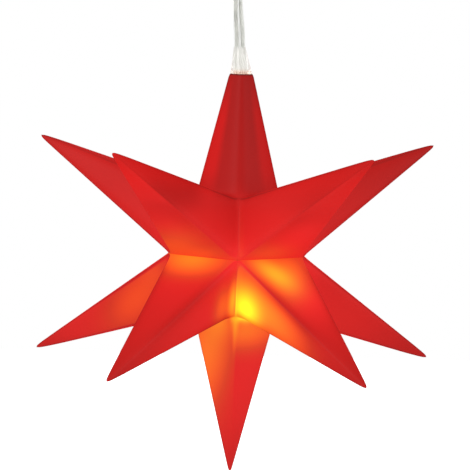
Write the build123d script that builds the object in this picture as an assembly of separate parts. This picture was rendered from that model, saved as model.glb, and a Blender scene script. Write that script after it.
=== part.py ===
from build123d import *
import math
import os

# A small lit star of thin red plastic that hangs on a clear twin lead from its battery box.
# The star has a spike up, a spike down and two rings of side spikes, one ring straight under the other.
# The origin is the middle of the hanging eye at the top of the battery box. Z points up.
# The front is at -Y and +X is on the right of someone who looks at the front.
# All sizes are in millimetres.

# Star outline, counted from the middle of the star
ring_spikes = 5                 # side spikes in each ring
side_reach = 63.7               # axis to the end of a side spike
side_tip_height = 33.0          # middle to the end of a side spike, up or down
waist_radius = 20.9             # corners of the waist, where the two rings meet
neck_radius = 13.3              # corners of the foot of the top and bottom spikes
neck_height = 17.2              # middle to that foot
top_cut_height = 54.3           # the flat end of the top spike
top_cut_radius = 3.75           # corners of that flat end
bottom_tip_height = 67.1        # the blunt end of the bottom spike
bottom_tip_radius = 0.4         # corners of that blunt end
side_tip_share = 0.04           # a side spike's blunt end over its foot

# Star shells
shell_wall = 1.0
seat_depth = 3.0                # solid end of the top spike, which holds the cone's spigot
lap_height = 1.2                # step of the lower shell inside the upper one
lap_thickness = 0.8
lap_gap = 0.15

# Twin lead and its wires
wire_diameter = 1.7             # one covered wire
lead_width = 2 * wire_diameter  # both wires side by side
free_lead = 33.4                # cone to grommet, along Z
arc_share = 0.45                # of its shorter run that each arc of a wire takes up

# Clear cone on top of the star
cone_height = 8.0
cone_foot_diameter = 6.6
cone_head_wall = 0.3            # round the lead, at the cone's head
cone_head_diameter = lead_width + 2 * cone_head_wall
cone_lean = 0.7                 # how far its head stands to the left
cone_straight = 2.5             # the wires' upright run under its head
spigot_wall = 0.4               # round the lead, in the spigot
spigot_diameter = lead_width + 2 * spigot_wall
spigot_gap = 0.1                # to the hole in the top spike, all round
barb_height = 1.2
barb_overhang = 0.35
wire_bore_gap = 0.05            # cone to wire, all round

# Light inside the star, which hangs on its wires a little to the right of and before the axis
led_right = 1.6
led_front = 2.2
led_lens_diameter = 5.0
led_lens_length = 8.6
led_flange_diameter = 5.8
led_flange_height = 1.0
led_tip_depth = 12.0            # the lens's end, below the middle of the star
wire_bend_share = 0.55          # height of the wires' bend over the height of the spigot's end
wire_bend_right_share = 0.6     # what the wires have gone sideways there
wire_bend_front_share = 0.5
pin_width = 0.5
pin_pitch = 2.54
pin_length = 5.0
sleeve_length = 13.0
sleeve_wall = 0.5
sleeve_air = 0.6                # sleeve to the wires, all round
sleeve_bore = lead_width + 2 * sleeve_air

# Cells
cell_count = 3
cell_diameter = 10.5
cell_length = 44.5              # with its button
button_diameter = 3.8
button_height = 0.9
cell_gap = 0.5                  # between two cells
cell_pitch = cell_diameter + cell_gap
cell_air = 0.25                 # side play of the row of cells
cell_edge = 0.4

# Battery case
case_wall = 1.6
side_wall = 2.0
case_edge = 0.8                 # rounding of the case's outer edges
electronics_length = 14.0
partition_wall = 1.2
spine_height = 0.6              # ribs under the cells
rib_width = 2.0
cell_back_gap = 0.3             # cells to the cover's side of their bay
cell_bay_depth = spine_height + cell_diameter + cell_back_gap

# Sliding cover
cover_thickness = 1.6
cover_gap = 0.3                 # to the cells, the grooves and the lips
groove_depth = 1.0
cover_lip = 1.2                 # what holds the cover in, over it
cover_stop = 1.6                # closed lower end of the grooves
cover_edge = 0.4
grip_count = 5
grip_pitch = 2.2
grip_width = 1.0
grip_depth = 0.5
grip_length = 14.0
grip_rise = 12.0                # lowest grip above the cover's lower end

# Hanging eye
eye_bore_diameter = 4.2
eye_ring_width = 2.6
eye_thickness = 4.0
eye_drop = 5.2                  # middle of the eye to the case's top
eye_edge = 0.5

# Grommet at the lead's end of the case
grommet_air = 0.25              # grommet to lead, all round
grommet_bore = lead_width + 2 * grommet_air
grommet_mouth_wall = 0.85
grommet_mouth_diameter = grommet_bore + 2 * grommet_mouth_wall
grommet_foot_diameter = 8.4
grommet_length = 8.0
grommet_flange_diameter = 8.4
grommet_flange = 1.2
grommet_neck_diameter = 6.4
grommet_fit = 0.05
swing_gap = 0.6                 # grommet to lead, so that the lead can swing
wire_entry = 6.0                # how far the wires stand into the case above the bottom wall

# Contacts
plate_thickness = 0.4
plate_margin = 0.95             # a plate's edge inside its cell's side
plate_width = cell_diameter - 2 * plate_margin
dimple_diameter = 3.0
dimple_height = 0.6
spring_wire = 0.6
spring_turns = 3
spring_foot_radius = 3.3
spring_head_radius = 2.2
spring_height = 4.3
spring_play = 0.05              # spring to its plate and to its cell
cell_bay_length = 2 * plate_thickness + dimple_height + cell_length + spring_height
tail_width = 2.0
tail_reach = 4.0                # below the partition
slot_gap = 0.2                  # tail and wire to the partition, all round
battery_wire_diameter = 1.2
battery_wire_reach = 4.6        # below the partition, to the middle of its last run
battery_wire_bend = 1.8
solder_tab = 2.4

# Board and what is on it
board_thickness = 1.0
board_overhang = 0.5            # past the middles of the outer cells
board_length = (cell_count - 1) * cell_pitch + 2 * board_overhang
board_height = 11.0
board_lead_gap = 0.45           # board's back to the lead's wires
part_margin = 0.9               # chip, crystal and resistor to the board's ends
chip_drop = 1.5                 # below the board's middle
part_rise = 2.4                 # crystal and resistor above and below the board's middle
chip_width = 5.0
chip_height = 4.0
chip_thickness = 1.5
crystal_diameter = 2.0
crystal_length = 6.0
crystal_edge = 0.2
resistor_diameter = 1.7
resistor_length = 4.2
resistor_end = 0.9
resistor_waist = 0.2            # its middle is this much slimmer, all round

# Slide switch, worked through the front wall
switch_width = 8.6
switch_height = 4.4
switch_pocket_width = 7.0
switch_pocket_height = 2.6
switch_skin = 0.8
knob_width = 2.8
knob_height = 2.2
knob_stand = 1.6                # out of the front wall
knob_travel = 4.0
knob_gap = 0.2
knob_groove_count = 3
knob_groove_pitch = 0.8
knob_groove_width = 0.3
knob_groove_depth = 0.3

# Inner cover over the board
bay_cover_thickness = 1.2
screw_head_diameter = 3.6
screw_head_height = 1.0
screw_shank_diameter = 1.9
screw_shank_length = 5.0
screw_slot_width = 0.5
screw_slot_depth = 0.5
screw_slot_length = 2.2
boss_diameter = 4.4
boss_sink = 0.3                 # how far a boss stands into the side wall
screw_gap = 0.05
cover_hole_gap = 0.15
bay_cover_gap = 0.2

# Shared by all cuts that have to run past a face
overrun = 1.0

# Places along Z, worked out downwards from the hanging eye
case_top = -eye_drop
bay_top = case_top - case_wall
bay_bottom = bay_top - cell_bay_length
electronics_top = bay_bottom - partition_wall
electronics_bottom = electronics_top - electronics_length
case_bottom = electronics_bottom - case_wall
grommet_mouth = case_bottom - grommet_length
lead_top = grommet_mouth - swing_gap
cone_head = lead_top - free_lead
star_cut = cone_head - cone_height
star_middle = star_cut - top_cut_height

# Places across the case
bay_width = cell_count * cell_pitch + 2 * cell_air
case_width = bay_width + 2 * side_wall
groove_depth_y = cover_thickness + 2 * cover_gap
case_depth = case_wall + cell_bay_depth + groove_depth_y + cover_lip
case_front = -case_depth / 2
bay_front = case_front + case_wall
bay_back = bay_front + cell_bay_depth
cover_front = bay_back + cover_gap
case_back = case_depth / 2
cell_middle_y = bay_front + spine_height + cell_diameter / 2
electronics_middle = (electronics_top + electronics_bottom) / 2
board_back = -wire_diameter / 2 - board_lead_gap
board_front = board_back - board_thickness
chip_x = board_length / 2 - part_margin - chip_height / 2
crystal_x = -board_length / 2 + part_margin + crystal_length / 2
resistor_x = -board_length / 2 + part_margin + resistor_length / 2
bay_cover_seat = bay_back - screw_head_height - bay_cover_thickness
tail_x = -cell_pitch
wire_x = cell_pitch / 2
wire_y = bay_front + battery_wire_diameter / 2

ring_turn = 360 / ring_spikes
half_turn = ring_turn / 2
flat_share = math.cos(math.radians(half_turn))      # a regular outline's flats over its corners


def at(radius, azimuth, height):
    """A place on the star: its radius, its azimuth from the front towards the right, its height."""
    angle = math.radians(azimuth)
    return Vector(radius * math.sin(angle), -radius * math.cos(angle), height)


def corners(radius, height):
    """The corners of the regular outline of the waist or of a spike's foot. One corner is in front."""
    return [at(radius, k * ring_turn, height) for k in range(ring_spikes)]


def inset_corner(before, corner, after, wall):
    """Moves a corner of a profile of radii and heights inwards, off both its lines by the wall."""
    lines = []
    for start, end in ((before, corner), (corner, after)):
        run = (Vector(end) - Vector(start)).normalized()
        outward = Vector(run.Y, -run.X, 0)
        lines.append((outward, outward.dot(Vector(corner)) - wall))
    (a, reach_a), (b, reach_b) = lines
    turn = a.X * b.Y - a.Y * b.X
    return (reach_a * b.Y - reach_b * a.Y) / turn, (a.X * reach_b - b.X * reach_a) / turn


def half_star(waist, neck, neck_z, reach, reach_z, share, pole, pole_z):
    """The upper half of a star: a core under the neck, a spike on it and a ring of side spikes."""
    body = ConvexPolyhedron(corners(waist, 0) + corners(neck, neck_z))
    body += ConvexPolyhedron(corners(neck, neck_z) + corners(pole, pole_z))
    waist_points = corners(waist, 0)
    neck_points = corners(neck, neck_z)
    for k in range(ring_spikes):
        after = (k + 1) % ring_spikes
        foot = [waist_points[k], waist_points[after], neck_points[k], neck_points[after]]
        middle = (foot[0] + foot[1] + foot[2] + foot[3]) / len(foot)
        end = at(reach, (k + 1 / 2) * ring_turn, reach_z)
        body += ConvexPolyhedron(foot + [end + (corner - middle) * share for corner in foot])
    return body


def hollow_half(pole, pole_z, solid_end):
    """A half star with its wall, and the inner corners' radius at the waist.

    solid_end is how much of the pole's end stays solid.
    """
    solid = half_star(waist_radius, neck_radius, neck_height, side_reach, side_tip_height,
                      side_tip_share, pole, pole_z)

    waist_flat = waist_radius * flat_share
    neck_flat = neck_radius * flat_share
    side_tip = (side_reach, side_tip_height)
    lower_side_tip = (side_reach, -side_tip_height)
    inner_waist, _ = inset_corner(lower_side_tip, (waist_flat, 0), side_tip, shell_wall)
    inner_neck, inner_neck_z = inset_corner(side_tip, (neck_flat, neck_height),
                                            (pole * flat_share, pole_z), shell_wall)

    foot_half = math.hypot(waist_flat - neck_flat, neck_height) / 2
    foot_radius = (waist_flat + neck_flat) / 2
    foot_z = neck_height / 2
    tip_share = shell_wall / foot_half
    inner_reach = side_reach + (foot_radius - side_reach) * tip_share
    inner_reach_z = side_tip_height + (foot_z - side_tip_height) * tip_share

    taper = (neck_radius - pole) / (pole_z - neck_height)
    corner_wall = shell_wall * math.hypot(1, taper * flat_share) / flat_share
    inner_pole_z = pole_z - solid_end
    inner_pole = pole + taper * solid_end - corner_wall
    cavity = half_star(inner_waist / flat_share, inner_neck / flat_share, inner_neck_z,
                       inner_reach, inner_reach_z, side_tip_share, inner_pole, inner_pole_z)
    return solid - cavity, inner_waist / flat_share


def pentagon_prism(radius, low, high):
    """An upright prism on the star's outline of corners."""
    return ConvexPolyhedron(corners(radius, low) + corners(radius, high))


def star_shells():
    """Upper and lower shell. The lower one has a step that laps into the upper one."""
    upper, inner_waist = hollow_half(top_cut_radius, top_cut_height, seat_depth)
    taper = (neck_radius - bottom_tip_radius) / (bottom_tip_height - neck_height)
    corner_wall = shell_wall * math.hypot(1, taper * flat_share) / flat_share
    lower, _ = hollow_half(bottom_tip_radius, bottom_tip_height, corner_wall / taper)

    rebate_radius = inner_waist + lap_thickness + lap_gap
    upper -= pentagon_prism(rebate_radius, -overrun, lap_height + lap_gap)
    spigot_hole = Cylinder(spigot_diameter / 2 + spigot_gap, seat_depth + 2 * overrun)
    upper -= Pos(0, 0, top_cut_height - seat_depth / 2) * spigot_hole

    lower = mirror(lower, about=Plane.XY)
    step = pentagon_prism(inner_waist + lap_thickness, 0, lap_height)
    step -= pentagon_prism(inner_waist, -overrun, lap_height + overrun)
    lower += step
    return upper, lower


def rod(radius, low, high, x, y):
    """An upright round bar between two heights."""
    return Pos(x, y, (low + high) / 2) * Cylinder(radius, high - low)


def block(x, y, z):
    """A box from its lowest and highest places along each axis."""
    size = (x[1] - x[0], y[1] - y[0], z[1] - z[0])
    return Pos((x[0] + x[1]) / 2, (y[0] + y[1]) / 2, (z[0] + z[1]) / 2) * Box(*size)


def smooth_tube(points, diameter, label):
    """A round tube along straight runs that arcs join, each as large as its two runs allow."""
    places = [Vector(*point) for point in points]
    radii = []
    for before, corner, after in zip(places, places[1:], places[2:]):
        turn = math.radians((corner - before).get_angle(after - corner))
        shorter = min((corner - before).length, (after - corner).length)
        radii.append(arc_share * shorter / math.tan(turn / 2))
    path = FilletPolyline(*places, radius=radii)
    section = Plane(origin=path @ 0, z_dir=path % 0) * Circle(diameter / 2)
    tube = sweep(section, path)
    expected = math.pi * diameter ** 2 / 4 * path.length
    print(label, "length", round(path.length, 2), "radii", [round(r, 1) for r in radii])
    print(label, "volume over section times length", round(tube.volume / expected, 4))
    return tube


def star_pieces():
    """The star and what it holds, built about its own middle and then hung in its place."""
    pieces = {}
    pieces["upper_shell"], pieces["lower_shell"] = star_shells()

    # Clear cone: a leaning frustum, a spigot through the top spike's end and a barb below it
    foot = Pos(0, 0, top_cut_height) * Circle(cone_foot_diameter / 2)
    head = Pos(-cone_lean, 0, top_cut_height + cone_height) * Circle(cone_head_diameter / 2)
    cone = loft([foot, head])
    seat_bottom = top_cut_height - seat_depth
    spigot_end = seat_bottom - barb_height
    cone += rod(spigot_diameter / 2, spigot_end, top_cut_height, 0, 0)
    barb = Cone(spigot_diameter / 2, spigot_diameter / 2 + barb_overhang, barb_height)
    cone += Pos(0, 0, seat_bottom - barb_height / 2) * barb

    # The two wires: along the leaning cone, down the spigot and on to the light
    wire_side = lead_width / 4
    led_tip = -led_tip_depth
    lens_top = led_tip + led_lens_length
    pins_top = lens_top + pin_length
    turn_z = top_cut_height - seat_depth - barb_height
    head_z = top_cut_height + cone_height
    wires = []
    bores = []
    for side in (-1, 1):
        x = side * wire_side
        route = [
            (x - cone_lean, 0, head_z),
            (x - cone_lean, 0, head_z - cone_straight),
            (x, 0, top_cut_height),
            (x, 0, turn_z),
            (x + led_right * wire_bend_right_share, -led_front * wire_bend_front_share,
             turn_z * wire_bend_share),
            (x + led_right, -led_front, pins_top + sleeve_length),
            (x + led_right, -led_front, pins_top),
        ]
        wires.append(smooth_tube(route, wire_diameter, "star wire"))
        bores.append(smooth_tube(route, wire_diameter + 2 * wire_bore_gap, "cone bore"))
    for bore in bores:
        cone -= bore
    pieces["cable_cone"] = cone
    pieces["star_wires"] = Compound(children=wires)

    # The light: lens with its round end, flange, pins and the sleeve over the solder joints
    radius = led_lens_diameter / 2
    lens = rod(radius, led_tip + radius, lens_top, led_right, -led_front)
    lens += Pos(led_right, -led_front, led_tip + radius) * Sphere(radius)
    lens += rod(led_flange_diameter / 2, lens_top - led_flange_height, lens_top, led_right, -led_front)
    pieces["led_lens"] = lens
    pins = []
    for side in (-1, 1):
        x = led_right + side * pin_pitch / 2
        reach = (x - pin_width / 2, x + pin_width / 2)
        depth = (-led_front - pin_width / 2, -led_front + pin_width / 2)
        pins.append(block(reach, depth, (lens_top, pins_top)))
    pieces["led_pins"] = Compound(children=pins)
    sleeve = rod(sleeve_bore / 2 + sleeve_wall, lens_top, lens_top + sleeve_length, led_right, -led_front)
    sleeve -= rod(sleeve_bore / 2, lens_top - overrun, lens_top + sleeve_length + overrun,
                  led_right, -led_front)
    pieces["led_sleeve"] = sleeve
    return {name: Pos(0, 0, star_middle) * shape for name, shape in pieces.items()}


def hanging_lead():
    """The lead's free stretch. It leaves the cone upwards and bows a little to the left."""
    route = [
        (-0.7, 0, -115.8),
        (-0.7, 0, -112.3),
        (-1.5, 0, -105.3),
        (-1.7, 0, -98.3),
        (-0.9, 0, -91.3),
        (0, 0, -86.1),
        (0, 0, -82.4),
    ]
    return smooth_tube(route, lead_width, "hanging lead")


def screw_places():
    """The two screws of the inner cover, half way up the electronics bay at its sides."""
    x = bay_width / 2 + boss_sink - boss_diameter / 2
    return [(side * x, electronics_middle) for side in (-1, 1)]


def battery_case():
    """Case with its cell bay, electronics bay, cover grooves, bosses and hanging eye."""
    outer = block((-case_width / 2, case_width / 2), (case_front, case_back), (case_bottom, case_top))
    outer = fillet(outer.edges().filter_by(Axis.Y), case_edge)
    outer = fillet(outer.edges().group_by(Axis.Y)[0], case_edge)
    inner_x = (-bay_width / 2, bay_width / 2)
    open_back = (bay_front, bay_back + overrun)
    case = outer - block(inner_x, open_back, (bay_bottom, bay_top))
    case -= block(inner_x, open_back, (electronics_bottom, electronics_top))

    # Grooves for the cover, open at the upper end, and the window that the lips frame
    groove_x = (-bay_width / 2 - groove_depth, bay_width / 2 + groove_depth)
    case -= block(groove_x, (bay_back, bay_back + groove_depth_y),
                  (case_bottom + cover_stop, case_top + overrun))
    case -= block(inner_x, (bay_back, case_back + overrun), (case_bottom + cover_stop, case_top + overrun))

    # Ribs that hold the row of cells off the front wall
    for k in range(cell_count):
        x = (k - (cell_count - 1) / 2) * cell_pitch
        case += block((x - rib_width / 2, x + rib_width / 2), (bay_front, bay_front + spine_height),
                      (bay_bottom, bay_top))

    # Bosses for the inner cover's screws
    pilot_depth = screw_shank_length - bay_cover_thickness + overrun
    for x, z in screw_places():
        boss = Rot(90, 0, 0) * Cylinder(boss_diameter / 2, bay_cover_seat - bay_front)
        case += Pos(x, (bay_front + bay_cover_seat) / 2, z) * boss
    for x, z in screw_places():
        pilot = Rot(90, 0, 0) * Cylinder(screw_shank_diameter / 2 + screw_gap, pilot_depth + overrun)
        case -= Pos(x, bay_cover_seat + (overrun - pilot_depth) / 2, z) * pilot

    # Slot for the switch knob, hole for the grommet, slot for the contact's tail, hole for the wire
    slot_half = knob_travel / 2 + knob_width / 2 + knob_gap
    case -= block((-slot_half, slot_half), (case_front - overrun, bay_front + overrun),
                  (electronics_middle - knob_height / 2 - knob_gap,
                   electronics_middle + knob_height / 2 + knob_gap))
    case -= rod(grommet_neck_diameter / 2 + grommet_fit, case_bottom - overrun,
                electronics_bottom + overrun, 0, 0)
    through = (electronics_top - overrun, bay_bottom + overrun)
    case -= block((tail_x - tail_width / 2 - slot_gap, tail_x + tail_width / 2 + slot_gap),
                  (board_back - slot_gap, board_back + plate_thickness + slot_gap), through)
    case -= rod(battery_wire_diameter / 2 + slot_gap, *through, wire_x, wire_y)

    # Hanging eye
    eye_outer = eye_bore_diameter / 2 + eye_ring_width
    eye = Rot(90, 0, 0) * Cylinder(eye_outer, eye_thickness)
    eye = fillet(eye.edges(), eye_edge)
    foot = block((-eye_outer, eye_outer), (-eye_thickness / 2, eye_thickness / 2),
                 (case_top - case_wall / 2, 0))
    foot = fillet(foot.edges().filter_by(Axis.Z), eye_edge)
    eye += foot
    eye -= Rot(90, 0, 0) * Cylinder(eye_bore_diameter / 2, eye_thickness + 2 * overrun)
    return case + eye


def battery_cover():
    """Plate that slides up out of the grooves, with grips for a thumb."""
    half = bay_width / 2 + groove_depth - cover_gap
    low = case_bottom + cover_stop
    cover = block((-half, half), (cover_front, cover_front + cover_thickness), (low, case_top))
    raised = bay_width / 2 - cover_gap
    pad = block((-raised, raised), (cover_front, case_back), (low, case_top))
    pad = fillet(pad.edges().group_by(Axis.Y)[-1], cover_edge)
    cover += pad
    for k in range(grip_count):
        z = low + grip_rise + k * grip_pitch
        cover -= block((-grip_length / 2, grip_length / 2), (case_back - grip_depth, case_back + overrun),
                       (z, z + grip_width))
    return cover


def battery_cell(button_up):
    """One cell at its own middle, with its button up or down."""
    can_length = cell_length - button_height
    can = Cylinder(cell_diameter / 2, can_length)
    can = fillet(can.edges(), cell_edge)
    button = Pos(0, 0, can_length / 2 + button_height / 2) * Cylinder(button_diameter / 2, button_height)
    cell = Pos(0, 0, -button_height / 2) * (can + button)
    return cell if button_up else Rot(180, 0, 0) * cell


def biarc(start, start_way, end, end_way):
    """Two arcs that leave one place in one direction and reach another in another, smooth between."""
    span = end - start
    both = start_way + end_way
    spread = 2 * (1 - start_way.dot(end_way))
    reach = (math.sqrt(span.dot(both) ** 2 + spread * span.dot(span)) - span.dot(both)) / spread
    middle = (start + end + (start_way - end_way) * reach) / 2
    middle_way = (span - both * reach).normalized()
    return [TangentArc(start, middle, tangent=start_way), TangentArc(middle, end, tangent=middle_way)]


def contact_spring():
    """A tapered coil spring that stands on its foot at height zero."""
    quarters = spring_turns * 4
    low = spring_wire / 2 + spring_play
    rise = spring_height - 2 * low
    places = []
    ways = []
    for k in range(quarters + 1):
        share = k / quarters
        angle = share * spring_turns * 2 * math.pi
        radius = spring_foot_radius + (spring_head_radius - spring_foot_radius) * share
        shrink = (spring_head_radius - spring_foot_radius) / (spring_turns * 2 * math.pi)
        climb = rise / (spring_turns * 2 * math.pi)
        places.append(Vector(radius * math.cos(angle), radius * math.sin(angle), low + rise * share))
        ways.append(Vector(shrink * math.cos(angle) - radius * math.sin(angle),
                           shrink * math.sin(angle) + radius * math.cos(angle), climb).normalized())
    arcs = []
    for k in range(quarters):
        arcs += biarc(places[k], ways[k], places[k + 1], ways[k + 1])
    path = Wire(arcs)
    tube = sweep(Plane(origin=path @ 0, z_dir=path % 0) * Circle(spring_wire / 2), path)
    samples = [path @ (k / (quarters * 8)) for k in range(quarters * 8 + 1)]
    apart = quarters * 8 // (spring_turns * 2)
    least = min((a - b).length for i, a in enumerate(samples) for b in samples[i + apart:])
    print("spring least gap to itself", round(least - spring_wire, 3))
    return tube


def contact_plate(columns, tab):
    """A sheet contact at the upper end of the bay over some cells, its top face at height zero."""
    low = min(columns) * cell_pitch - plate_width / 2
    high = max(columns) * cell_pitch + plate_width / 2
    depth = (cell_middle_y - plate_width / 2, cell_middle_y + plate_width / 2)
    plate = block((low, high), depth, (-plate_thickness, 0))
    if tab:
        plate += block((wire_x - solder_tab / 4, low + solder_tab), (bay_front, depth[0] + solder_tab),
                       (-plate_thickness, 0))
    return plate


def dimple(column):
    """The raised contact that meets a cell's button, under the plate."""
    body = Cylinder(dimple_diameter / 2, dimple_height)
    return Pos(column * cell_pitch, cell_middle_y, -plate_thickness - dimple_height / 2) * body


def cells_and_contacts():
    """Three cells in series, the springs on their lower ends and the sheet contacts that join them."""
    pieces = {}
    top = Pos(0, 0, bay_top)
    bottom = Pos(0, 0, bay_bottom) * Rot(180, 0, 0)
    springs = []
    for k, button_up in enumerate((True, False, True)):
        column = k - 1
        cell_top = bay_top - plate_thickness - (dimple_height if button_up else spring_height)
        place = Pos(column * cell_pitch, cell_middle_y, cell_top - cell_length / 2)
        pieces["battery_cell_" + str(k + 1)] = place * battery_cell(button_up)
        if button_up:
            foot = Pos(column * cell_pitch, cell_middle_y, bay_bottom + plate_thickness)
        else:
            foot = Pos(column * cell_pitch, cell_middle_y, bay_top - plate_thickness) * Rot(180, 0, 0)
        springs.append(foot * contact_spring())
    pieces["contact_springs"] = Compound(children=springs)

    # The lower contacts are the upper ones turned over about X, which brings the far side to the near one
    turned = Pos(0, 2 * cell_middle_y, bay_bottom) * Rot(180, 0, 0)
    tail = block((tail_x - tail_width / 2, tail_x + tail_width / 2),
                 (board_back, board_back + plate_thickness), (electronics_top - tail_reach, bay_bottom))
    plates = [
        top * (contact_plate((-1, 0), False) + dimple(-1)),
        top * (contact_plate((1,), True) + dimple(1)),
        turned * (contact_plate((0, 1), False) + dimple(0)),
        turned * contact_plate((-1,), False) + tail,
    ]
    pieces["contact_plates"] = Compound(children=plates)

    last = electronics_top - battery_wire_reach
    path = FilletPolyline((wire_x, wire_y, bay_top - plate_thickness), (wire_x, wire_y, last),
                          (wire_x, board_front, last), radius=battery_wire_bend)
    section = Plane(origin=path @ 0, z_dir=path % 0) * Circle(battery_wire_diameter / 2)
    pieces["battery_wire"] = sweep(section, path)
    return pieces


def electronics():
    """Board with its parts, the slide switch, the inner cover and its screws, grommet and wires."""
    pieces = {}
    middle = electronics_middle
    pieces["timer_board"] = block((-board_length / 2, board_length / 2), (board_front, board_back),
                                  (middle - board_height / 2, middle + board_height / 2))
    pieces["timer_chip"] = block((chip_x - chip_height / 2, chip_x + chip_height / 2),
                                 (board_front - chip_thickness, board_front),
                                 (middle - chip_drop - chip_width / 2, middle - chip_drop + chip_width / 2))
    crystal = Rot(0, 90, 0) * Cylinder(crystal_diameter / 2, crystal_length)
    crystal = fillet(crystal.edges(), crystal_edge)
    crystal_place = Pos(crystal_x, board_front - crystal_diameter / 2, middle + part_rise)
    pieces["timer_crystal"] = crystal_place * crystal
    pieces["series_resistor"] = resistor(middle - part_rise)

    # Slide switch: a can with a pocket for the knob's foot
    pocket_depth = board_front - bay_front - switch_skin
    body = block((-switch_width / 2, switch_width / 2), (bay_front, board_front),
                 (middle - switch_height / 2, middle + switch_height / 2))
    body -= block((-switch_pocket_width / 2, switch_pocket_width / 2),
                  (bay_front - overrun, bay_front + pocket_depth),
                  (middle - switch_pocket_height / 2, middle + switch_pocket_height / 2))
    pieces["switch_body"] = body
    knob_x = -knob_travel / 2
    knob_front = case_front - knob_stand
    knob = block((knob_x - knob_width / 2, knob_x + knob_width / 2),
                 (knob_front, bay_front + pocket_depth - knob_gap),
                 (middle - knob_height / 2, middle + knob_height / 2))
    for k in range(knob_groove_count):
        x = knob_x + (k - (knob_groove_count - 1) / 2) * knob_groove_pitch
        knob -= block((x - knob_groove_width / 2, x + knob_groove_width / 2),
                      (knob_front - overrun, knob_front + knob_groove_depth),
                      (middle - knob_height, middle + knob_height))
    pieces["switch_knob"] = knob

    # Inner cover and its screws
    half = bay_width / 2 - bay_cover_gap
    seat = bay_cover_seat
    cover = block((-half, half), (seat, seat + bay_cover_thickness),
                  (electronics_bottom + grommet_flange + bay_cover_gap, electronics_top - bay_cover_gap))
    screws = []
    for x, z in screw_places():
        hole = Rot(90, 0, 0) * Cylinder(screw_shank_diameter / 2 + cover_hole_gap,
                                        bay_cover_thickness + 2 * overrun)
        cover -= Pos(x, seat + bay_cover_thickness / 2, z) * hole
        screws.append(Pos(x, seat + bay_cover_thickness, z) * screw())
    pieces["bay_cover"] = cover
    pieces["bay_screws"] = Compound(children=screws)
    pieces["lead_grommet"] = grommet()

    # The lead's two wires, from the grommet's mouth up behind the board
    wires = []
    for side in (-1, 1):
        wires.append(rod(wire_diameter / 2, grommet_mouth, electronics_bottom + wire_entry,
                         side * lead_width / 4, 0))
    pieces["box_wires"] = Compound(children=wires)
    return pieces


def resistor(z):
    """An axial resistor that lies on the board, thicker at its ends."""
    waist = Rot(0, 90, 0) * Cylinder(resistor_diameter / 2 - resistor_waist, resistor_length)
    end = Rot(0, 90, 0) * Cylinder(resistor_diameter / 2, resistor_end)
    for side in (-1, 1):
        waist += Pos(side * (resistor_length - resistor_end) / 2, 0, 0) * end
    return Pos(resistor_x, board_front - resistor_diameter / 2, z) * waist


def screw():
    """A small screw with its head's underside at the origin and its shank towards the front."""
    head = Rot(90, 0, 0) * Cylinder(screw_head_diameter / 2, screw_head_height)
    body = Pos(0, screw_head_height / 2, 0) * head
    shank = Rot(90, 0, 0) * Cylinder(screw_shank_diameter / 2, screw_shank_length)
    body += Pos(0, -screw_shank_length / 2, 0) * shank
    top = (screw_head_height - screw_slot_depth, screw_head_height + overrun)
    long = (-screw_slot_length / 2, screw_slot_length / 2)
    short = (-screw_slot_width / 2, screw_slot_width / 2)
    return body - block(long, top, short) - block(short, top, long)


def grommet():
    """Soft bell-mouthed grommet: flange inside the case, neck through its wall, taper below it."""
    body = rod(grommet_flange_diameter / 2, electronics_bottom, electronics_bottom + grommet_flange, 0, 0)
    body += rod(grommet_neck_diameter / 2, case_bottom, electronics_bottom, 0, 0)
    taper = Cone(grommet_mouth_diameter / 2, grommet_foot_diameter / 2, grommet_length)
    body += Pos(0, 0, case_bottom - grommet_length / 2) * taper
    return body - rod(grommet_bore / 2, grommet_mouth - overrun,
                      electronics_bottom + grommet_flange + overrun, 0, 0)


pieces = star_pieces()
pieces["hanging_lead"] = hanging_lead()
pieces["battery_case"] = battery_case()
pieces["battery_cover"] = battery_cover()
pieces.update(cells_and_contacts())
pieces.update(electronics())

os.makedirs("parts", exist_ok=True)
for name, shape in pieces.items():
    shape.label = name
    export_step(shape, "parts/" + name + ".step")

lengths = {
    "star middle": star_middle,
    "cone head": cone_head,
    "lead top": lead_top,
    "grommet mouth": grommet_mouth,
    "case bottom": case_bottom,
    "case width": case_width,
    "case depth": case_depth,
}
for label, value in lengths.items():
    print(label, round(value, 2))
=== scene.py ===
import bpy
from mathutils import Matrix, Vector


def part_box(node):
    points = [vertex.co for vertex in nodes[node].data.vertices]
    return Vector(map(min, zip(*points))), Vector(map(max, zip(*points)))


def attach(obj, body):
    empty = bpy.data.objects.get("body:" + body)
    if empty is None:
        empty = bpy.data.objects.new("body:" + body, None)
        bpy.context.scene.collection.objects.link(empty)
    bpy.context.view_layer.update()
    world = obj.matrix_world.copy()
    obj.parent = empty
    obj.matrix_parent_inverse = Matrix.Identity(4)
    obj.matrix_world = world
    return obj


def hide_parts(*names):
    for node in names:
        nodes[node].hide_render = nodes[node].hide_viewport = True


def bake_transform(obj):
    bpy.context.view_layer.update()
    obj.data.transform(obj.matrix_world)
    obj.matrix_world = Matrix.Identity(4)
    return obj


bl_info = {
    "name": "Lit hanging star",
    "version": (1, 0, 0),
    "blender": (4, 5, 0),
    "location": "3D View > Sidebar > Star",
    "description": "Finishes a small lit star of red plastic, its clear twin lead and its battery box",
    "category": "Object",
}

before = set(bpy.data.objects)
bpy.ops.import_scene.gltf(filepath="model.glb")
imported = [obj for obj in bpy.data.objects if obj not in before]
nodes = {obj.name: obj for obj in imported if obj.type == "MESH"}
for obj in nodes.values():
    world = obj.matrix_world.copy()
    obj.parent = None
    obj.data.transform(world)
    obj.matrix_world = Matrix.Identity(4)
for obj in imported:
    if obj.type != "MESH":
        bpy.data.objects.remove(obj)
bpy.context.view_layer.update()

import math

import bmesh
import bpy
import numpy as np
from bpy.props import FloatProperty, FloatVectorProperty, IntProperty, PointerProperty
from mathutils import Matrix, Vector

mm = 0.001
picture_size = 470                      # pixels each way
sensor_width = 36.0                     # millimetres, as the camera counts them

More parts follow.
